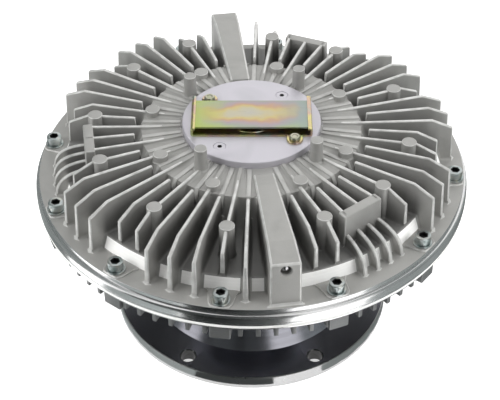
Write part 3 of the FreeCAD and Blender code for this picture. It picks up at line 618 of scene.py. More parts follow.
# %% Ribs with rounded edges
# A cast rib is a flat profile in the XZ plane, thickened to both sides. Its edges are rounded in
# a few steps by pulling the profile in while it moves outwards. Faces on the rounding carry
# the mark "edge", which the cast material turns into bright lines: partly rubbed wear, partly painted
# highlight.
def bridge(bm, loops, wear_and_highlight_level=None):
    """Skin over a row of closed loops and both ends; the last argument gives the edge mark of the k-th band,
    for rubbed wear and painted highlight.
    """
    layer = wear_and_highlight_level and (bm.faces.layers.float.get("edge") or bm.faces.layers.float.new("edge"))
    rings = [[bm.verts.new((x * mm, y * mm, z * mm)) for x, y, z in loop] for loop in loops]
    for k, (low, high) in enumerate(zip(rings, rings[1:])):
        for i in range(len(low)):
            j = (i + 1) % len(low)
            face = bm.faces.new((low[i], low[j], high[j], high[i]))
            if wear_and_highlight_level:
                face[layer] = wear_and_highlight_level(k)
    bm.faces.new(rings[0])
    bm.faces.new(rings[-1])


def inset(points, distance):
    """A closed outline moved inwards by a distance; the outline may run either way round."""
    area = sum(a[0] * b[1] - b[0] * a[1] for a, b in zip(points, points[1:] + points[:1]))
    side = 1.0 if area > 0 else -1.0
    moved = []
    for i, point in enumerate(points):
        here = Vector(point)
        into = (here - Vector(points[i - 1])).normalized()
        out = (Vector(points[(i + 1) % len(points)]) - here).normalized()
        square = Vector((-into.y, into.x))
        across = square + Vector((-out.y, out.x))
        across = (across if across.length > 1e-6 else square).normalized()
        moved.append(here + across * (side * distance / max(across.dot(square), 0.5)))
    return moved


def add_rib(bm, outline, half_width, rounding=0.8, steps=3, thin=True, wear_and_highlight_level=1.0, soft=3):
    """Rib from a closed (r, z) outline; half_width(r, z) gives its half thickness at each point."""
    outline = softened(outline, soft)
    loops = []
    for bend in quarter(steps):
        out = rounding * (1 - math.sin(bend))
        drawn = inset(outline, rounding * (1 - math.cos(bend)))
        loops.append([(p[0], half_width(p[0], p[1]) - out, p[1]) for p in drawn])
    mirrored = [[(x, -y, z) for x, y, z in loop] for loop in reversed(loops)]
    # The rounding bands carry the edge mark: rubbed wear and painted highlight.
    bridge(bm, mirrored + loops, lambda k: wear_and_highlight_level if thin or k != steps else 0.0)


def finish_ribs(name, bm, material=cast_aluminium):
    """Ribs as an object; the line between a flat side and its rounding is a sharp edge."""
    made = finish_mesh(name, bm, [material])
    mesh = made.data
    mesh.set_sharp_from_angle(angle=math.radians(30.0))
    mark = mesh.attributes["edge"].data
    touching = {}
    for polygon in mesh.polygons:
        for key in polygon.edge_keys:
            touching.setdefault(key, []).append(polygon)
    for edge in mesh.edges:
        around = touching.get(tuple(sorted(edge.vertices)), [])
        if len(around) == 2 and mark[around[0].index].value != mark[around[1].index].value:
            if max(len(polygon.vertices) for polygon in around) > 4:
                edge.use_edge_sharp = True
    return made


print("ribs ready")

# %% Foot fillets
# Where a rib meets the wall below, a casting always has a small hollow fillet. It is a low mound
# that follows the wall's section: at each station its slopes run up to the rib in a quarter
# circle, measured square to the wall.
def resampled(path, step):
    """Points along an open path, no further apart than a step, with every corner kept."""
    points = [path[0]]
    for a, b in zip(path, path[1:]):
        pieces = max(1, math.ceil(math.dist(a, b) / step))
        for k in range(1, pieces + 1):
            points.append((a[0] + (b[0] - a[0]) * k / pieces, a[1] + (b[1] - a[1]) * k / pieces))
    return points


def add_foot(bm, path, half_width, size, up=1.0, ends=(True, True), square=False):
    """Fillet mound under a rib along an open (r, z) path; up is -1 where the wall faces down.

    A thin rib's mound ends in a point, and a wide one's, which is square, along the rib's whole end.
    """
    sunk = 0.8
    bends = quarter(4)
    stations = resampled(path, 6.0)
    rows = []
    for i, here in enumerate(stations):
        before = stations[max(i - 1, 0)]
        after = stations[min(i + 1, len(stations) - 1)]
        along = Vector((after[0] - before[0], after[1] - before[1])).normalized()
        normal = Vector((-along.y, along.x))
        rows.append((here, normal if normal.y * up > 0 else -normal, 1.0, 1.0))
    for at_end, index, inner in ((False, 0, 1), (True, -1, -2)):
        if not ends[at_end]:
            continue
        here = Vector(stations[index])
        normal = rows[index][1]
        outwards = Vector((normal.y, -normal.x))
        if outwards.dot(here - Vector(stations[inner])) < 0:
            outwards = -outwards
        extra = []
        for bend in bends[1:]:
            away = size * math.sin(bend)
            height = (size - math.sqrt(max(size * size - (size - away) ** 2, 0))) / size
            narrow = 1.0 if square else 1 - away / size
            extra.append((tuple(here + outwards * away), normal, height, narrow))
        rows = rows + extra if at_end else extra[::-1] + rows
    sections = []
    for point, normal, height, narrow in rows:
        half = half_width(*point) * narrow
        flank = [(half + size * (1 - math.sin(bend)) * max(narrow, 0.15),
                  size * (1 - math.cos(bend)) * height) for bend in bends]
        bottom = [(-flank[0][0], -sunk), (flank[0][0], -sunk)]
        profile = flank + [(-y, h) for y, h in reversed(flank)] + bottom
        sections.append([(point[0] + normal.x * h, y, point[1] + normal.y * h) for y, h in profile])
    # The fillet's rounded ends carry the edge mark: a painted highlight on the feet.
    bridge(bm, sections, lambda k: 0.9 if min(rows[k][2], rows[k + 1][2]) < 1.0 else 0.0)


print("fillets ready")

# %% [markdown]
# ## Copies by Geometry Nodes
# Screws, back fins, bosses and pads repeat at equal angles. A Geometry Nodes tree makes such a
# ring: points, an instance on each, a turn that grows with the point's number. It ends in
# Realize Instances and Set Material, and the result is turned into a plain mesh, because a
# live modifier or an instance wouldn't reach the exported model.

# %% Tree: ring of copies
def new_tree(name, inputs):
    """Empty Geometry Nodes tree with named inputs; gives the tree, its inputs and its output node."""
    tree = bpy.data.node_groups.new(name, "GeometryNodeTree")
    tree.is_modifier = True
    for title, kind in {"Geometry": "Geometry", **inputs}.items():
        tree.interface.new_socket(title, in_out="INPUT", socket_type="NodeSocket" + kind)
    tree.interface.new_socket("Geometry", in_out="OUTPUT", socket_type="NodeSocketGeometry")
    return tree, tree.nodes.new("NodeGroupInput").outputs, tree.nodes.new("NodeGroupOutput")


def turned_copies(tree, result, angle, instancing, finishing):
    """Last steps of both trees: turned instances, made real and given their material."""
    turn = add(tree, "ShaderNodeCombineXYZ", {"Z": angle})
    turn = add(tree, "FunctionNodeEulerToRotation", {0: turn.outputs[0]})
    copies = add(tree, "GeometryNodeInstanceOnPoints", {**instancing, "Rotation": turn.outputs[0]})
    real = add(tree, "GeometryNodeRealizeInstances", {"Geometry": copies.outputs["Instances"]})
    coated = add(tree, "GeometryNodeSetMaterial", {"Geometry": real.outputs[0], **finishing})
    fill(tree, result, {"Geometry": coated.outputs[0]})


ring_tree, given, result = new_tree("ring of copies", {
    "Piece": "Object", "Count": "Int", "First angle": "Float", "Step": "Float", "Finish": "Material",
    "Coat all": "Bool"})
points = add(ring_tree, "GeometryNodeMeshLine", {"Count": given["Count"], "Offset": (0, 0, 0)})
piece = add(ring_tree, "GeometryNodeObjectInfo", {"Object": given["Piece"]})
number = add(ring_tree, "GeometryNodeInputIndex").outputs[0]
angle = arithmetic(ring_tree, "MULTIPLY", number, given["Step"])
angle = arithmetic(ring_tree, "ADD", angle, given["First angle"])
instancing = {"Points": points.outputs["Mesh"], "Instance": piece.outputs["Geometry"]}
finishing = {"Selection": given["Coat all"], "Material": given["Finish"]}
turned_copies(ring_tree, result, angle, instancing, finishing)


def evaluated_mesh(piece_object):
    """The mesh that the object's modifier makes, as its own plain mesh."""
    graph = bpy.context.evaluated_depsgraph_get()
    mesh = bpy.data.meshes.new_from_object(piece_object.evaluated_get(graph))
    piece_object.modifiers.clear()
    piece_object.data = mesh


def grown(name, tree, seed, values):
    """Object whose mesh is what a Geometry Nodes tree makes of a seed mesh and named inputs."""
    made = new_object(name, seed)
    modifier = made.modifiers.new("grow", "NODES")
    modifier.node_group = tree
    for item in tree.interface.items_tree:
        if item.in_out == "INPUT" and values.get(item.name) is not None:
            modifier[item.identifier] = values[item.name]
    evaluated_mesh(made)
    made.data.name = name
    return made


def ring_of(piece_object, name, count, first, finish=cast_aluminium):
    """Copies of a piece round the axis, at equal angles from a first one, in degrees."""
    made = grown(name, ring_tree, bpy.data.meshes.new(name + "_seed"), {
        "Piece": piece_object, "Count": count, "First angle": math.radians(first),
        "Step": math.radians(360.0 / count), "Finish": finish, "Coat all": finish is not None})
    bpy.data.objects.remove(piece_object)
    return made


def cut_away(piece_object, tool):
    """Takes the tool's form out of a piece; the cut faces keep the tool's material."""
    cutting = piece_object.modifiers.new("cut", "BOOLEAN")
    cutting.operation = "DIFFERENCE"
    cutting.solver = "EXACT"
    cutting.material_mode = "TRANSFER"
    cutting.object = tool
    evaluated_mesh(piece_object)
    bpy.data.objects.remove(tool)


def hand_in(piece_object, node, body="housing"):
    """The piece stands in for its CAD node, which is hidden, and rides on a body."""
    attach(piece_object, body)
    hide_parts(node)
    print(piece_object.name, "faces:", len(piece_object.data.polygons))


# %% [markdown]
# ## Front cover: the turned form
# Under its fins the cover is a body of revolution: a rim plate that carries the screws, a short
# drum, a flat floor, and a hollow slope up to the crown. A lathed section with rounded corners
# gives that with clean highlights. Inside are the rings that mesh with the rotor's lands.

# %% Lathe the cover
slope = [(r, z, 0) for r, z in bow((dome_r, crown_z), (77.5, 138.0), (floor_r, drum_top), 8)]
outline = [(6.0, crown_top, 0), (disc_r, crown_top, 0), *slope, (drum_r, drum_top, 1.6),
           (wall_r, plate_top, 1.5), (147.5, plate_top, 0.5), (147.5, joint_z, 0), (121.0, joint_z, 0),
           (121.0, 128.0, 0)]
for i in range(5):
    ring_r = 115.0 - 7.0 * i
    outline += [(ring_r, 128.0, 0), (ring_r, 122.5, 0), (ring_r - 2.6, 122.5, 0), (ring_r - 2.6, 128.0, 0)]
outline += [(74.0, 128.0, 0), (74.0, 130.0, 0), (66.0, 130.0, 0), (66.0, 149.0, 0), (6.0, 149.0, 0)]


def cover_finish(a, b):
    """The drum's wall, where a tool has passed, is smooth and painted near white as a bright reflection; the
    plate's side is bright machined metal.
    """
    inner, outer = min(a[0], b[0]), max(a[0], b[0])
    if inner > 147.2:
        return 2
    return 1 if inner > 127.0 and outer < 132.6 and abs(a[1] - b[1]) > 0.4 else 0


cover_metals = [cast_aluminium, painted_highlight_white, machined_aluminium]
cover_shell = lathed("cover_shell", softened(outline), cover_metals, 256, (0, 0), cover_finish, 50)
hand_in(cover_shell, "front_cover")

# %% [markdown]
# ## Front cover: the fins
# The fins stand every 6.67 degrees. Long and short ones take turns, those beside a screw are cut
# back so that a spanner fits, and three of them end in each pocketed box. So there are a
# few kinds, each drawn once, and a tree that picks the kind for each point.

# %% Draw one fin of each kind
fin_draft = math.tan(math.radians(1.3))
pitch = 360.0 / 54
crown_r = 48.6
fin_foot_r = 139.8
fin_shoulder = 150.5
floor_line = [(crown_r, crown_top), (dome_r, crown_z)] + [p[:2] for p in slope[1:]]
floor_line += [(drum_r, drum_top), (wall_r, plate_top), (fin_foot_r, plate_top)]


def fin_half(r, z):
    """Half thickness of a fin: thicker towards its foot, so that it leaves the mould."""
    return 1.1 + max(fin_top - z, 0.0) * fin_draft


def draw_fin(name, short, cut, boxed):
    """One fin with its foot fillet, on the +X side."""
    if short:
        inner = 80.0
        outline = [(inner, crown_z - 14.0, 0), (inner, fin_top, 1.0)]
    else:
        inner = crown_r
        outline = [(inner, crown_z - 1.5, 0), (inner, fin_top - 1.0, 0.8)]
    if boxed:
        last = 112.8
        outline += [(last, fin_top, 0), (last, drum_top - 2.0, 0)]
    elif cut:
        last = 127.6
        outline += [(113.0, fin_top, 1.5), (127.0, fin_shoulder, 1.5), (last, drum_top - 2.0, 0)]
    else:
        last = fin_foot_r
        outline += [(124.0, fin_top, 1.5), (138.6, fin_shoulder, 1.2), (last, plate_top - 1.0, 0),
                    (130.4, plate_top - 1.0, 0), (126.0, drum_top - 2.0, 0)]
    outline += [(floor_r, drum_top - 2.0, 0), (77.0, 141.0, 0) if short else (dome_r, 140.0, 0)]
    bm = bmesh.new()
    add_rib(bm, outline, fin_half)
    foot = [p for p in floor_line if (79.5 if short else inner) <= p[0] <= last]
    if boxed or cut:
        foot.append((last, drum_top))
    add_foot(bm, foot, fin_half, 1.9, ends=(True, not boxed and not cut))
    if short:
        low_rib = [(crown_r, crown_top + 0.8, 0.5), (dome_r, crown_z + 0.8, 0.5), (79.0, crown_z - 8.0, 0.5),
                   (77.0, crown_z - 9.0, 0.5), (crown_r, crown_top - 2.0, 0.5)]
        add_rib(bm, low_rib, lambda r, z: 1.7, 0.7, 2, wear_and_highlight_level=0.4, soft=2)
    return finish_ribs(name, bm)


def close_to(angle, first, count, room):
    """Whether an angle lies within some room of one of several evenly spaced places."""
    step = 360.0 / count
    return abs((angle - first + step / 2) % step - step / 2) < room


kinds = []
turns = []
kind_of = []
for half_turn in (0.0, 180.0):
    for number in range(25):
        angle = block_angle + half_turn + (1.5 + number) * pitch
        boxed = close_to(angle, box_angle, 3, 1.5 * pitch)
        cut = close_to(angle, first_screw, screw_count, 4.7) and not boxed
        kind = (number % 2 == 0, cut, boxed)
        if kind not in kinds:
            kinds.append(kind)
        turns.append(angle)
        kind_of.append(kinds.index(kind))
print("fins:", len(turns), "kinds:", len(kinds))

# %% Tree: a piece of the right kind on every point
# The points all lie on the axis. Each carries its turn and the number of its kind as attributes,
# and Pick Instance takes the child of the collection that has that number.
pick_tree, given, result = new_tree("pieces by kind", {"Kinds": "Collection", "Finish": "Material"})
family = add(pick_tree, "GeometryNodeCollectionInfo", {
    "Collection": given["Kinds"], "Separate Children": True, "Reset Children": True})
turn_mark = add(pick_tree, "GeometryNodeInputNamedAttribute", {"Name": "turn"}, data_type="FLOAT")
kind_mark = add(pick_tree, "GeometryNodeInputNamedAttribute", {"Name": "kind"}, data_type="INT")
instancing = {"Points": given["Geometry"], "Instance": family.outputs[0], "Pick Instance": True,
              "Instance Index": kind_mark.outputs["Attribute"]}
turned_copies(pick_tree, result, turn_mark.outputs["Attribute"], instancing, {"Material": given["Finish"]})


def by_kind(name, pieces, turns, kind_of, finish=cast_aluminium):
    """Copies of several pieces round the axis, each turned by its own angle in degrees."""
    family = bpy.data.collections.new(name + "_kinds")
    scene.collection.children.link(family)
    for piece_object in pieces:
        family.objects.link(piece_object)
    seed = bpy.data.meshes.new(name)
    seed.from_pydata([(0, 0, 0)] * len(turns), [], [])
    angles = [math.radians(turn) for turn in turns]
    seed.attributes.new("turn", "FLOAT", "POINT").data.foreach_set("value", angles)
    seed.attributes.new("kind", "INT", "POINT").data.foreach_set("value", kind_of)
    made = grown(name, pick_tree, seed, {"Kinds": family, "Finish": finish})
    for piece_object in pieces:
        bpy.data.objects.remove(piece_object)
    bpy.data.collections.remove(family)
    return made


drawn = [draw_fin("kind_%02d" % i, *kind) for i, kind in enumerate(kinds)]
hand_in(by_kind("cover_fins", drawn, turns, kind_of), "front_cover")

# %% [markdown]
# ## Front cover: blocks, boxes and curved ribs
# Two thick radial blocks hide the drilled channels that lead the oil back to the middle. Their
# outer ends are drilled and closed with a steel ball. Three boxes with two pockets each have
# four curved ribs under them. All are ribs of other profiles, so the same helper draws them.

# %% Draw a block and drill it
block_inner, block_outer, block_crest = 54.0, 143.2, 159.0


def block_half(r, z):
    """Half width of a block: it widens outwards and towards its foot."""
    widening = (9.75 - 7.0) * (r - block_inner) / (block_outer - block_inner)
    return 7.0 + widening + (block_crest - z) * 0.012


block_outline = [(block_inner, 151.0, 0), (block_inner, 156.0, 1.0), (124.0, block_crest, 6.0),
                 (block_outer, 156.0, 2.0), (144.0, plate_top - 1.0, 0), (130.4, plate_top - 1.0, 0),
                 (126.0, drum_top - 1.5, 0), (floor_r, drum_top - 1.5, 0), (dome_r, 142.0, 0)]
bm = bmesh.new()
add_rib(bm, block_outline, block_half, 1.4, 4, thin=False, wear_and_highlight_level=0.9, soft=4)
block = finish_mesh("block", bm, [cast_aluminium])
hole_z, hole_slope = 0.151, 0.1036
drill_outline = [(0, 141.0), (0, 128.0), (3.5, 128.0), (3.5, 142.6), (4.6, 143.8), (4.6, 152.0), (0, 152.0)]
drill = lathed("drill", drill_outline, [cast_aluminium], 32)
for vertex in drill.data.vertices:
    across, along, out = vertex.co
    vertex.co = Vector((out, along, hole_z + (out - block_outer * mm) * hole_slope - across))
cut_away(block, drill)
# The rounding over the hole is marked bright too, as rubbed wear and painted highlight, and the foot comes
# last, so that it stays whole.
wear_and_highlight_marks = block.data.attributes["edge"].data
for polygon in block.data.polygons:
    if polygon.center.x > 0.1405 and polygon.center.z > 0.1515 and 0.25 < polygon.normal.z < 0.97:
        wear_and_highlight_marks[polygon.index].value = 0.9
bm = bmesh.new()
bm.from_mesh(block.data)
bpy.data.objects.remove(block)
block_foot = [p for p in floor_line if 56.0 <= p[0] <= wall_r] + [(144.0, plate_top)]
add_foot(bm, block_foot, block_half, 1.6, square=True)
hand_in(ring_of(finish_ribs("block", bm), "cover_blocks", 2, block_angle), "front_cover")

# %% Draw a box with its ribs
def box_half(r, z):
    """Half width of a box's outer wall."""
    return 15.4 + (fin_top - z) * 0.02


def small_rib_half(r, z):
    """Half thickness of the curved ribs."""
    return 1.35 + (142.0 - z) * 0.012


bm = bmesh.new()
wall_outline = [(107.5, drum_top - 2.0, 0), (107.5, fin_top, 0.8), (114.3, fin_top, 1.2),
                (114.9, drum_top - 2.0, 0)]
add_rib(bm, wall_outline, box_half, thin=False, wear_and_highlight_level=0.4)
add_foot(bm, [(108.0, drum_top), (114.6, drum_top)], box_half, 1.5)
hand_in(ring_of(finish_ribs("box_wall", bm), "cover_boxes", 3, box_angle), "front_cover")

arch = [(r, z, 0) for r, z in bow((113.8, 142.0), (133.0, 140.5), (136.6, 128.8), 8)]
arch += [(137.6, plate_top - 1.0, 0), (130.4, plate_top - 1.0, 0), (126.0, drum_top - 1.5, 0),
         (113.8, drum_top - 1.5, 0)]
bm = bmesh.new()
add_rib(bm, arch, small_rib_half, 0.9)
rib_foot = [(114.5, drum_top), (drum_r, drum_top), (wall_r, plate_top), (137.2, plate_top)]
add_foot(bm, rib_foot, small_rib_half, 1.3, ends=(False, True))
rib_turns = [box_angle + 120.0 * box + (i - 1.5) * 4.4 for box in range(3) for i in range(4)]
hand_in(by_kind("cover_ribs", [finish_ribs("small_rib", bm)], rib_turns, [0] * 12), "front_cover")

# %% [markdown]
# ## Front cover: bosses, pads and posts
# Round bosses in the fins let ejector pins push the casting out of its mould. Low pads and four
# tall posts stand on the crown. Each is a small lathed shape with a foot fillet and a soft top.

# %% Stand them on the cover
def peg(name, at, radius, low, top, foot):
    """Round boss at a distance from the axis, on the +X side."""
    edge = 0.6
    wide = radius + (top - low) * 0.012
    outline = [(0, top, 0), (radius, top, edge), (wide, low + foot, 0)]
    for bend in quarter(4)[1:]:
        outline.append((wide + foot * (1 - math.cos(bend)), low + foot * (1 - math.sin(bend)), 0))
    outline += [(wide + foot, low - 1.0, 0), (0, low - 1.0, 0)]
    bm = bmesh.new()
    add_lathe(bm, softened(outline), 32, (at, 0))
    bmesh.ops.dissolve_degenerate(bm, dist=merge_distance, edges=bm.edges)
    # Slanted faces round the top carry the edge mark: rubbed wear and painted highlight.
    layer = bm.faces.layers.float.new("edge")
    for face in bm.faces:
        slanted = 0.15 < abs(face.normal.z) < 0.95
        near_top = face.calc_center_median().z > (top - 1.5 * edge - 0.2) * mm
        face[layer] = 1.0 if slanted and near_top else 0.0
    return finish_mesh(name, bm, [cast_aluminium])


in_fins = [block_angle + (1.5 + number) * pitch for number in (1, 5, 10, 14, 19, 23)]
in_fins += [block_angle + 180.0 + (1.5 + number) * pitch for number in (1, 5, 9, 14, 19, 23)]
on_crown = [28.7, 75.0, 121.0, 167.8, 210.3, 249.0, 297.0, 333.7]
posts = [54.0, 139.5, 234.0, 319.5]
pegs = [peg("peg_00", 108.0, 5.0, drum_top, 157.8, 1.2), peg("peg_01", 70.0, 4.9, crown_z - 0.3, 158.3, 1.0),
        peg("peg_02", 56.5, 4.2, crown_top - 0.5, 171.0, 1.4)]
peg_kinds = [0] * len(in_fins) + [1] * len(on_crown) + [2] * len(posts)
hand_in(by_kind("cover_pegs", pegs, in_fins + on_crown + posts, peg_kinds), "front_cover")

# %% Raised seats under the screws
# Each screw stands on a low pad that runs out to the drum. A flat outline with rounded edges.
seat_r = 8.2
seat_line = [(130.6, -11.6), (134.5, -9.2), (screw_r, -seat_r)]
for k in range(1, 8):
    bend = -math.pi / 2 + math.pi * k / 8
    seat_line.append((screw_r + min(seat_r * math.cos(bend), 6.2), seat_r * math.sin(bend)))
seat_line += [(screw_r, seat_r), (134.5, 9.2), (130.6, 11.6)]
levels = []
for rise, shrink in ((-1.0, 0.0), (0.4, 0.0), (0.8, 0.12), (1.1, 0.45)):
    levels.append([(x, y, plate_top + rise) for x, y in inset(seat_line, shrink)])
bm = bmesh.new()
# All of the pad's sides and roundings carry the full edge mark: rubbed wear and painted highlight.
bridge(bm, levels, lambda k: 1.0)
seat = finish_mesh("seat", bm, [cast_aluminium])
hand_in(ring_of(seat, "cover_seats", screw_count, first_screw), "front_cover")

# %% [markdown]
# ## Rear housing
# The other half is turned on its rim, which shines, and rough cast underneath, where short fins,
# screw bosses and the six pads for the fan stand out; that cast skin is painted dark as shade under
# the rim. One lathed section carries its finishes: the faces near the rim take the machined one, and
# a band low on the rim a near-white painted highlight.

# %% Lathe the housing
back_z = 104.5
back_crest = 97.5
rear_outline = [(45.0, 84.0, 0.6), (45.0, 85.85, 0), (47.2, 85.85, 0), (47.2, 88.0, 0), (45.0, 88.0, 0),
                (45.0, 108.0, 0), (41.0, 108.0, 0), (41.0, 112.0, 0), (54.0, 112.0, 0), (54.0, 111.0, 0),
                (121.0, 111.0, 0), (121.0, joint_z, 0), (132.4, joint_z, 0), (132.4, 117.5, 0),
                (134.8, 117.5, 0), (134.8, joint_z, 0), (150.0, joint_z, 2.6), (150.0, 113.8, 0),
                (149.2, 113.4, 0), (150.0, 113.0, 0.3), (149.87, 112.0, 0), (149.55, 109.5, 0),
                (149.4, 108.5, 0.5), (147.0, 108.5, 0), (146.8, 105.4, 1.0), (144.0, 104.9, 0.5),
                (143.6, back_z, 0), (62.5, back_z, 3.0), (56.3, 98.0, 2.0), (56.0, 84.0, 1.5)]


def rear_finish(a, b):
    """Machined on the rim, with a near-white painted highlight band low on it, and in the bearing seat; cast
    elsewhere.
    """
    if min(a[0], b[0]) > 149.5 and max(a[1], b[1]) < 112.1:
        return 2
    on_rim = min(a[0], b[0]) > 134.0 and min(a[1], b[1]) > 108.4
    in_seat = max(a[0], b[0]) < 47.3
    return 1 if on_rim or in_seat else 0


rear_metals = [painted_shade_casting, machined_aluminium, painted_highlight_white]
rear_shell = lathed("rear_shell", softened(rear_outline, 5), rear_metals, 256, (0, 0), rear_finish, 50)
hand_in(rear_shell, "rear_housing")

# %% Back fins, screw bosses and fan pads
def back_half(r, z):
    """Half thickness of a back fin: thicker towards its foot."""
    return 1.4 + (z - back_crest) * 0.015


def draw_back_fin(name, inner):
    """One fin under the housing, on the +X side; the short ones start further out."""
    outline = [(inner - 1.0, 106.0, 0), (inner, 103.5, 0), (inner + 7.0, back_crest, 2.0),
               (145.0, back_crest, 0.5), (145.0, 106.0, 0)]
    bm = bmesh.new()
    add_rib(bm, outline, back_half, 0.35, 2, wear_and_highlight_level=0.3)
    add_foot(bm, [(inner, back_z), (142.8, back_z)], back_half, 1.1, up=-1.0)
    return finish_ribs(name, bm, painted_shade_casting)


back_count = 80
back_turns = [1.7 + 360.0 / back_count * k for k in range(back_count)]
back_kinds = [draw_back_fin("back_00", 66.0), draw_back_fin("back_01", 90.0)]
every_other = [k % 2 for k in range(back_count)]
hand_in(by_kind("back_fins", back_kinds, back_turns, every_other, painted_shade_casting), "rear_housing")

boss_outline = [(132.8, 108.4, 0), (132.8, 96.5, 0.8), (147.0, 96.5, 0.8), (147.0, 108.4, 0)]
bm = bmesh.new()
add_rib(bm, boss_outline, lambda r, z: 6.7, 0.7, thin=False, wear_and_highlight_level=0.8)
screw_boss = finish_ribs("screw_boss", bm, painted_shade_casting)
hand_in(ring_of(screw_boss, "screw_bosses", screw_count, first_screw, painted_shade_casting), "rear_housing")

pad_outline = [(0, 106.5, 0), (3.4, 106.5, 0), (3.4, 94.4, 0), (4.2, 93.5, 0), (10.0, 93.5, 0.5),
               (10.3, back_z - 1.6, 0), (11.8, back_z, 0), (11.8, 107.0, 0), (0, 107.0, 0)]
fan_pad = lathed("fan_pad", softened(pad_outline), [painted_shade_casting], 48, (115.0, 0))
hand_in(ring_of(fan_pad, "fan_pads", 6, 0.0, painted_shade_casting), "rear_housing")

# %% [markdown]
# ## Drive hub
# A forging, turned all over: a flat flange with six bolt holes, a steep cone, a round into the
# neck, and the shaft. One lathed section carries it all. The holes are cut by a boolean with a
# cutter that also breaks their edges.

# %% Turn the hub and drill its flange
cone_slope = math.radians(50.0)
flange_r, flange_top, bolt_r = 100.0, 10.0, 90.0
cone_r, neck_r, neck_round = 74.0, 34.0, 30.0
round_top = flange_top + (cone_r - neck_r) * math.tan(cone_slope)
round_top += neck_round * math.tan(math.pi / 4 - cone_slope / 2)
hub_outline = [(0, 8.0, 0), (35.0, 8.0, 0.5), (35.0, 0, 0.8), (flange_r, 0, 1.0), (flange_r, flange_top, 1.0),
               (cone_r, flange_top, 0.5)]
for k in range(9):
    bend = (math.pi / 2 - cone_slope) * (1 - k / 8)
    r = neck_r + neck_round * (1 - math.cos(bend))
    hub_outline.append((r, round_top - neck_round * math.sin(bend), 0))
hub_outline += [(neck_r, 84.0, 1.0), (30.0, 84.0, 0.5), (30.0, 88.0, 0.3), (25.0, 88.0, 0), (25.0, 108.0, 0),
                (20.0, 108.0, 0), (20.0, 117.0, 0), (15.0, 117.0, 0), (15.0, 125.5, 1.0), (0, 125.5, 0)]


def hub_finish(a, b):
    """The flange's side is cut brighter than the rest."""
    return 1 if min(a[0], b[0]) > flange_r - 1.1 else 0


hub = lathed("hub", softened(hub_outline), [forged_steel, flange_edge], 288, material_of=hub_finish, sharp=35)
bore = [(0, -2.0), (8.1, -2.0), (5.5, 0.6), (5.5, 9.4), (8.1, 12.0), (0, 12.0)]
# The cut hole walls take the near-black finish: painted shade.
cutter = lathed("cutter", bore, [painted_hole_shade], 48, (bolt_r, 0))
cut_away(hub, ring_of(cutter, "cutter_ring", 6, 0.0, painted_hole_shade))
hub.data.set_sharp_from_angle(angle=math.radians(35.0))
hand_in(hub, "drive_hub", "hub")

# %% [markdown]
# ## Cover screws and washers
# Twelve socket-head screws with a hexagon recess. The recess is a ring of the same lathe that is
# given six flats. The heads are fluted all round for grip, so their side takes fine ridges.

# %% Make one screw and one washer, then the rings
low_z = 125.6
top_z = 131.6
head = [(0, low_z + 2.9), (2.5, low_z + 3.0, 6), (2.5, top_z - 0.35, 6), (2.85, top_z, 6), (4.45, top_z),
        (4.85, top_z - 0.15), (5.0, top_z - 0.5), (5.0, top_z - 0.9), (5.0, low_z + 0.9), (4.9, low_z + 0.25),
        (4.6, low_z), (3.0, low_z), (3.0, 111.6), (0, 111.6)]


def socket_finish(a, b):
    """The recess is painted near black, as shade."""
    return 1 if len(a) + len(b) > 5 or max(a[0], b[0]) < 2.6 and a[1] > 126 else 0


bm = bmesh.new()
add_lathe(bm, head, 72, material_of=socket_finish)
for vertex in bm.verts:
    if math.hypot(vertex.co.x, vertex.co.y) > 4.98 * mm:
        ridge = round(math.degrees(math.atan2(vertex.co.y, vertex.co.x)) / 5) % 2
        vertex.co.x *= 1 - 0.035 * ridge
        vertex.co.y *= 1 - 0.035 * ridge
    vertex.co.x += screw_r * mm
screw = finish_mesh("screw", bm, [zinc_steel, painted_recess_shade], 30)
hand_in(ring_of(screw, "screws", screw_count, first_screw, None), "cover_screws")

washer_outline = [(3.1, 124.6, 0.2), (6.2, 124.6, 0.25), (6.2, low_z, 0.35), (3.1, low_z, 0.2)]
washer = lathed("washer", softened(washer_outline, 3), [zinc_steel], 48, (screw_r, 0))
hand_in(ring_of(washer, "washers", screw_count, first_screw, zinc_steel), "cover_washers")

# %% [markdown]
# ## Centre plate and its screws
# A plated disc closes the crown. Its upper edge is broken, and two flat-head screws sit flush in
# seats that are cut into it. The heads' recesses are painted near black as shade, as those of the cover's
# screws are.

# %% Turn the plate
plate_outline = [(6.0, crown_top, 0), (6.0, disc_top, 0.3), (disc_r, disc_top, 0.7), (disc_r, crown_top, 0)]
centre_plate = lathed("centre_disc", softened(plate_outline), [centre_zinc], 192)
seat_outline = [(0, 157.4), (4.22, 157.4), (4.22, 159.6), (4.6, 160.0), (4.6, 161.0), (0, 161.0)]
flat_head = [(0, 158.5), (1.3, 158.55, 6), (1.3, 159.4, 6), (1.5, 159.55, 6), (3.9, 159.55), (4.2, 159.3),
             (4.2, 157.4), (2.5, 156.5), (2.5, 150.4), (0, 150.4)]
places = {side: (side * 21.2, side * 29.1) for side in (-1, 1)}
for place in places.values():
    cut_away(centre_plate, lathed("seat", seat_outline, [centre_zinc], 48, place))
centre_plate.data.set_sharp_from_angle(angle=math.radians(40.0))
hand_in(centre_plate, "centre_plate")
for side, place in places.items():
    metals = [centre_zinc, painted_recess_shade]
    screw = lathed("centre_screw_%d" % side, flat_head, metals, 48, place, socket_finish, 30)
    hand_in(screw, "centre_screws")

# %% [markdown]
# ## Strip holder
# One sheet of steel, cut, folded and yellow plated. Its base lies on the centre plate, its two
# ends turn up and back in to hold the strip, and two round ears are riveted down. The section is
# a centre line with bend radii, given the sheet's thickness on both sides of it.

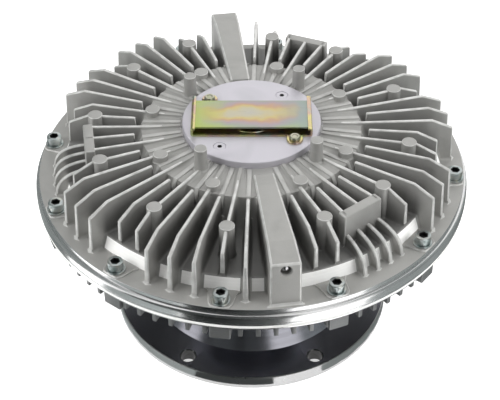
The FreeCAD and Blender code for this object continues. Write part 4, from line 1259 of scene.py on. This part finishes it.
# %% Fold the sheet
sheet_t = 1.4
bend_r = 1.2
base_z = disc_top + sheet_t / 2
lip_z = 166.4 - sheet_t / 2
corner_x = bend_r - (41.0 - sheet_t / 2)
section = [(corner_x + 1.1, lip_z)]
for bend in quarter(6):
    section.append((corner_x - bend_r * math.sin(bend), lip_z - bend_r * (1 - math.cos(bend))))
for bend in quarter(6):
    section.append((corner_x - bend_r * math.cos(bend), base_z + bend_r * (1 - math.sin(bend))))
section += [(-x, z) for x, z in reversed(section)]


def add_sheet(bm, line, half_y, thickness, rounding, pinch=0.0):
    """Sheet along an open (x, z) centre line, its edges a little rounded and its last end narrower."""
    half_t = thickness / 2
    side = half_y - rounding
    ring = [(-side, half_t), (-half_y, half_t - rounding), (-half_y, rounding - half_t), (-side, -half_t),
            (side, -half_t), (half_y, rounding - half_t), (half_y, half_t - rounding), (side, half_t)]
    loops = []
    for i, (x, z) in enumerate(line):
        before = line[max(i - 1, 0)]
        after = line[min(i + 1, len(line) - 1)]
        along = (Vector(after) - Vector(before)).normalized()
        less = pinch if i == len(line) - 1 else 0.0
        loops.append([(x - along.y * h, y - math.copysign(less, y), z + along.x * h) for y, h in ring])
    bridge(bm, loops)


ear_x, ear_y, ear_r, ear_root = 29.0, 22.5, 5.5, 17.5
bm = bmesh.new()
add_sheet(bm, section, 19.0, sheet_t, 0.25)
for side in (-1, 1):
    half_circle = [math.pi * k / 16 for k in range(17)]
    ear = [(side * (ear_x - ear_r * math.cos(a)), -side * (ear_y + ear_r * math.sin(a))) for a in half_circle]
    ear = [(side * ear_x - ear_r, -side * ear_root)] + ear + [(side * ear_x + ear_r, -side * ear_root)]
    levels = []
    for rise, shrink in ((0.0, 0.0), (sheet_t - 0.25, 0.0), (sheet_t, 0.25)):
        levels.append([(x, y, disc_top + rise) for x, y in inset(ear, shrink)])
    bridge(bm, levels)
bead = [(14.6, 161.1, 0), (15.2, 161.6, 0.4), (16.2, 161.6, 0.4), (16.8, 161.1, 0), (16.8, 160.6, 0),
        (14.6, 160.6, 0)]
add_lathe(bm, softened(bead, 3), 96)
holder = finish_mesh("holder_sheet", bm, [yellow_chromate], 35)
hand_in(holder, "strip_holder")

rivet_outline = [(0, 163.0, 0), (1.5, 163.0, 0.3), (2.0, 163.4, 0.3), (3.1, 163.4, 0.6), (3.8, 162.4, 0.6),
                 (3.8, 161.2, 0), (2.2, 161.2, 0), (2.2, 157.4, 0), (0, 157.4, 0)]
for side, name in ((-1, "left_rivet"), (1, "right_rivet")):
    rivet = lathed(name, softened(rivet_outline), [rivet_zinc], 48, (side * ear_x, -side * ear_y))
    hand_in(rivet, "holder_rivets")

# %% [markdown]
# ## Bimetal strip
# The strip bows when it gets warm and lets the control pin rise. Each half is drawn as one flat
# mesh, from its outer end to the middle.

# %% Make the two halves
strip_t = 1.2
strip_x, strip_y = 39.0, 15.5
strip_z = 163.8 + strip_t / 2
for side, name in ((-1, "strip_left"), (1, "strip_right")):
    bm = bmesh.new()
    line = [(side * strip_x * k / 40, strip_z) for k in range(41)]
    add_sheet(bm, line, strip_y, strip_t, 0.3, pinch=0.3)
    strip = finish_mesh(name, bm, [bimetal], 35)
    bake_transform(strip)
    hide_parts("bimetal_strip")
    print(strip.name, "faces:", len(strip.data.polygons))

# %% [markdown]
# ## Pieces that keep their CAD mesh
# What is small or inside is right as the CAD has it, and only needs its finish: the bearing, the
# rotor, the valve, the pin and the steel balls in the drilled channels.

# %% Finish the CAD nodes
finishes = {
    bearing_steel: ("bearing_inner_ring", "bearing_outer_ring", "bearing_balls", "channel_plugs",
                    "control_pin"),
    zinc_steel: ("divider_plate", "divider_screws", "leaf_clamp", "leaf_rivets"),
    seal_rubber: ("bearing_seals", "cover_seal", "pin_seal"),
    spring_steel: ("bearing_snap_ring", "valve_leaf"),
    machined_aluminium: ("rotor_disc",), forged_steel: ("rotor_nut",),
    cage_plastic: ("bearing_cage",), bush_brass: ("pin_bush",),
}
for material, names in finishes.items():
    for name in names:
        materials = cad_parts[name].data.materials
        for i in range(len(materials)):
            materials[i] = material
        if not materials:
            materials.append(material)
print("CAD nodes with a new finish:", sum(len(names) for names in finishes.values()))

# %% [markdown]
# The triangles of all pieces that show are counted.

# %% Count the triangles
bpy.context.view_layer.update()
triangles = sum(len(p.vertices) - 2 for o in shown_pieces() for p in o.data.polygons)
print("triangles:", triangles)
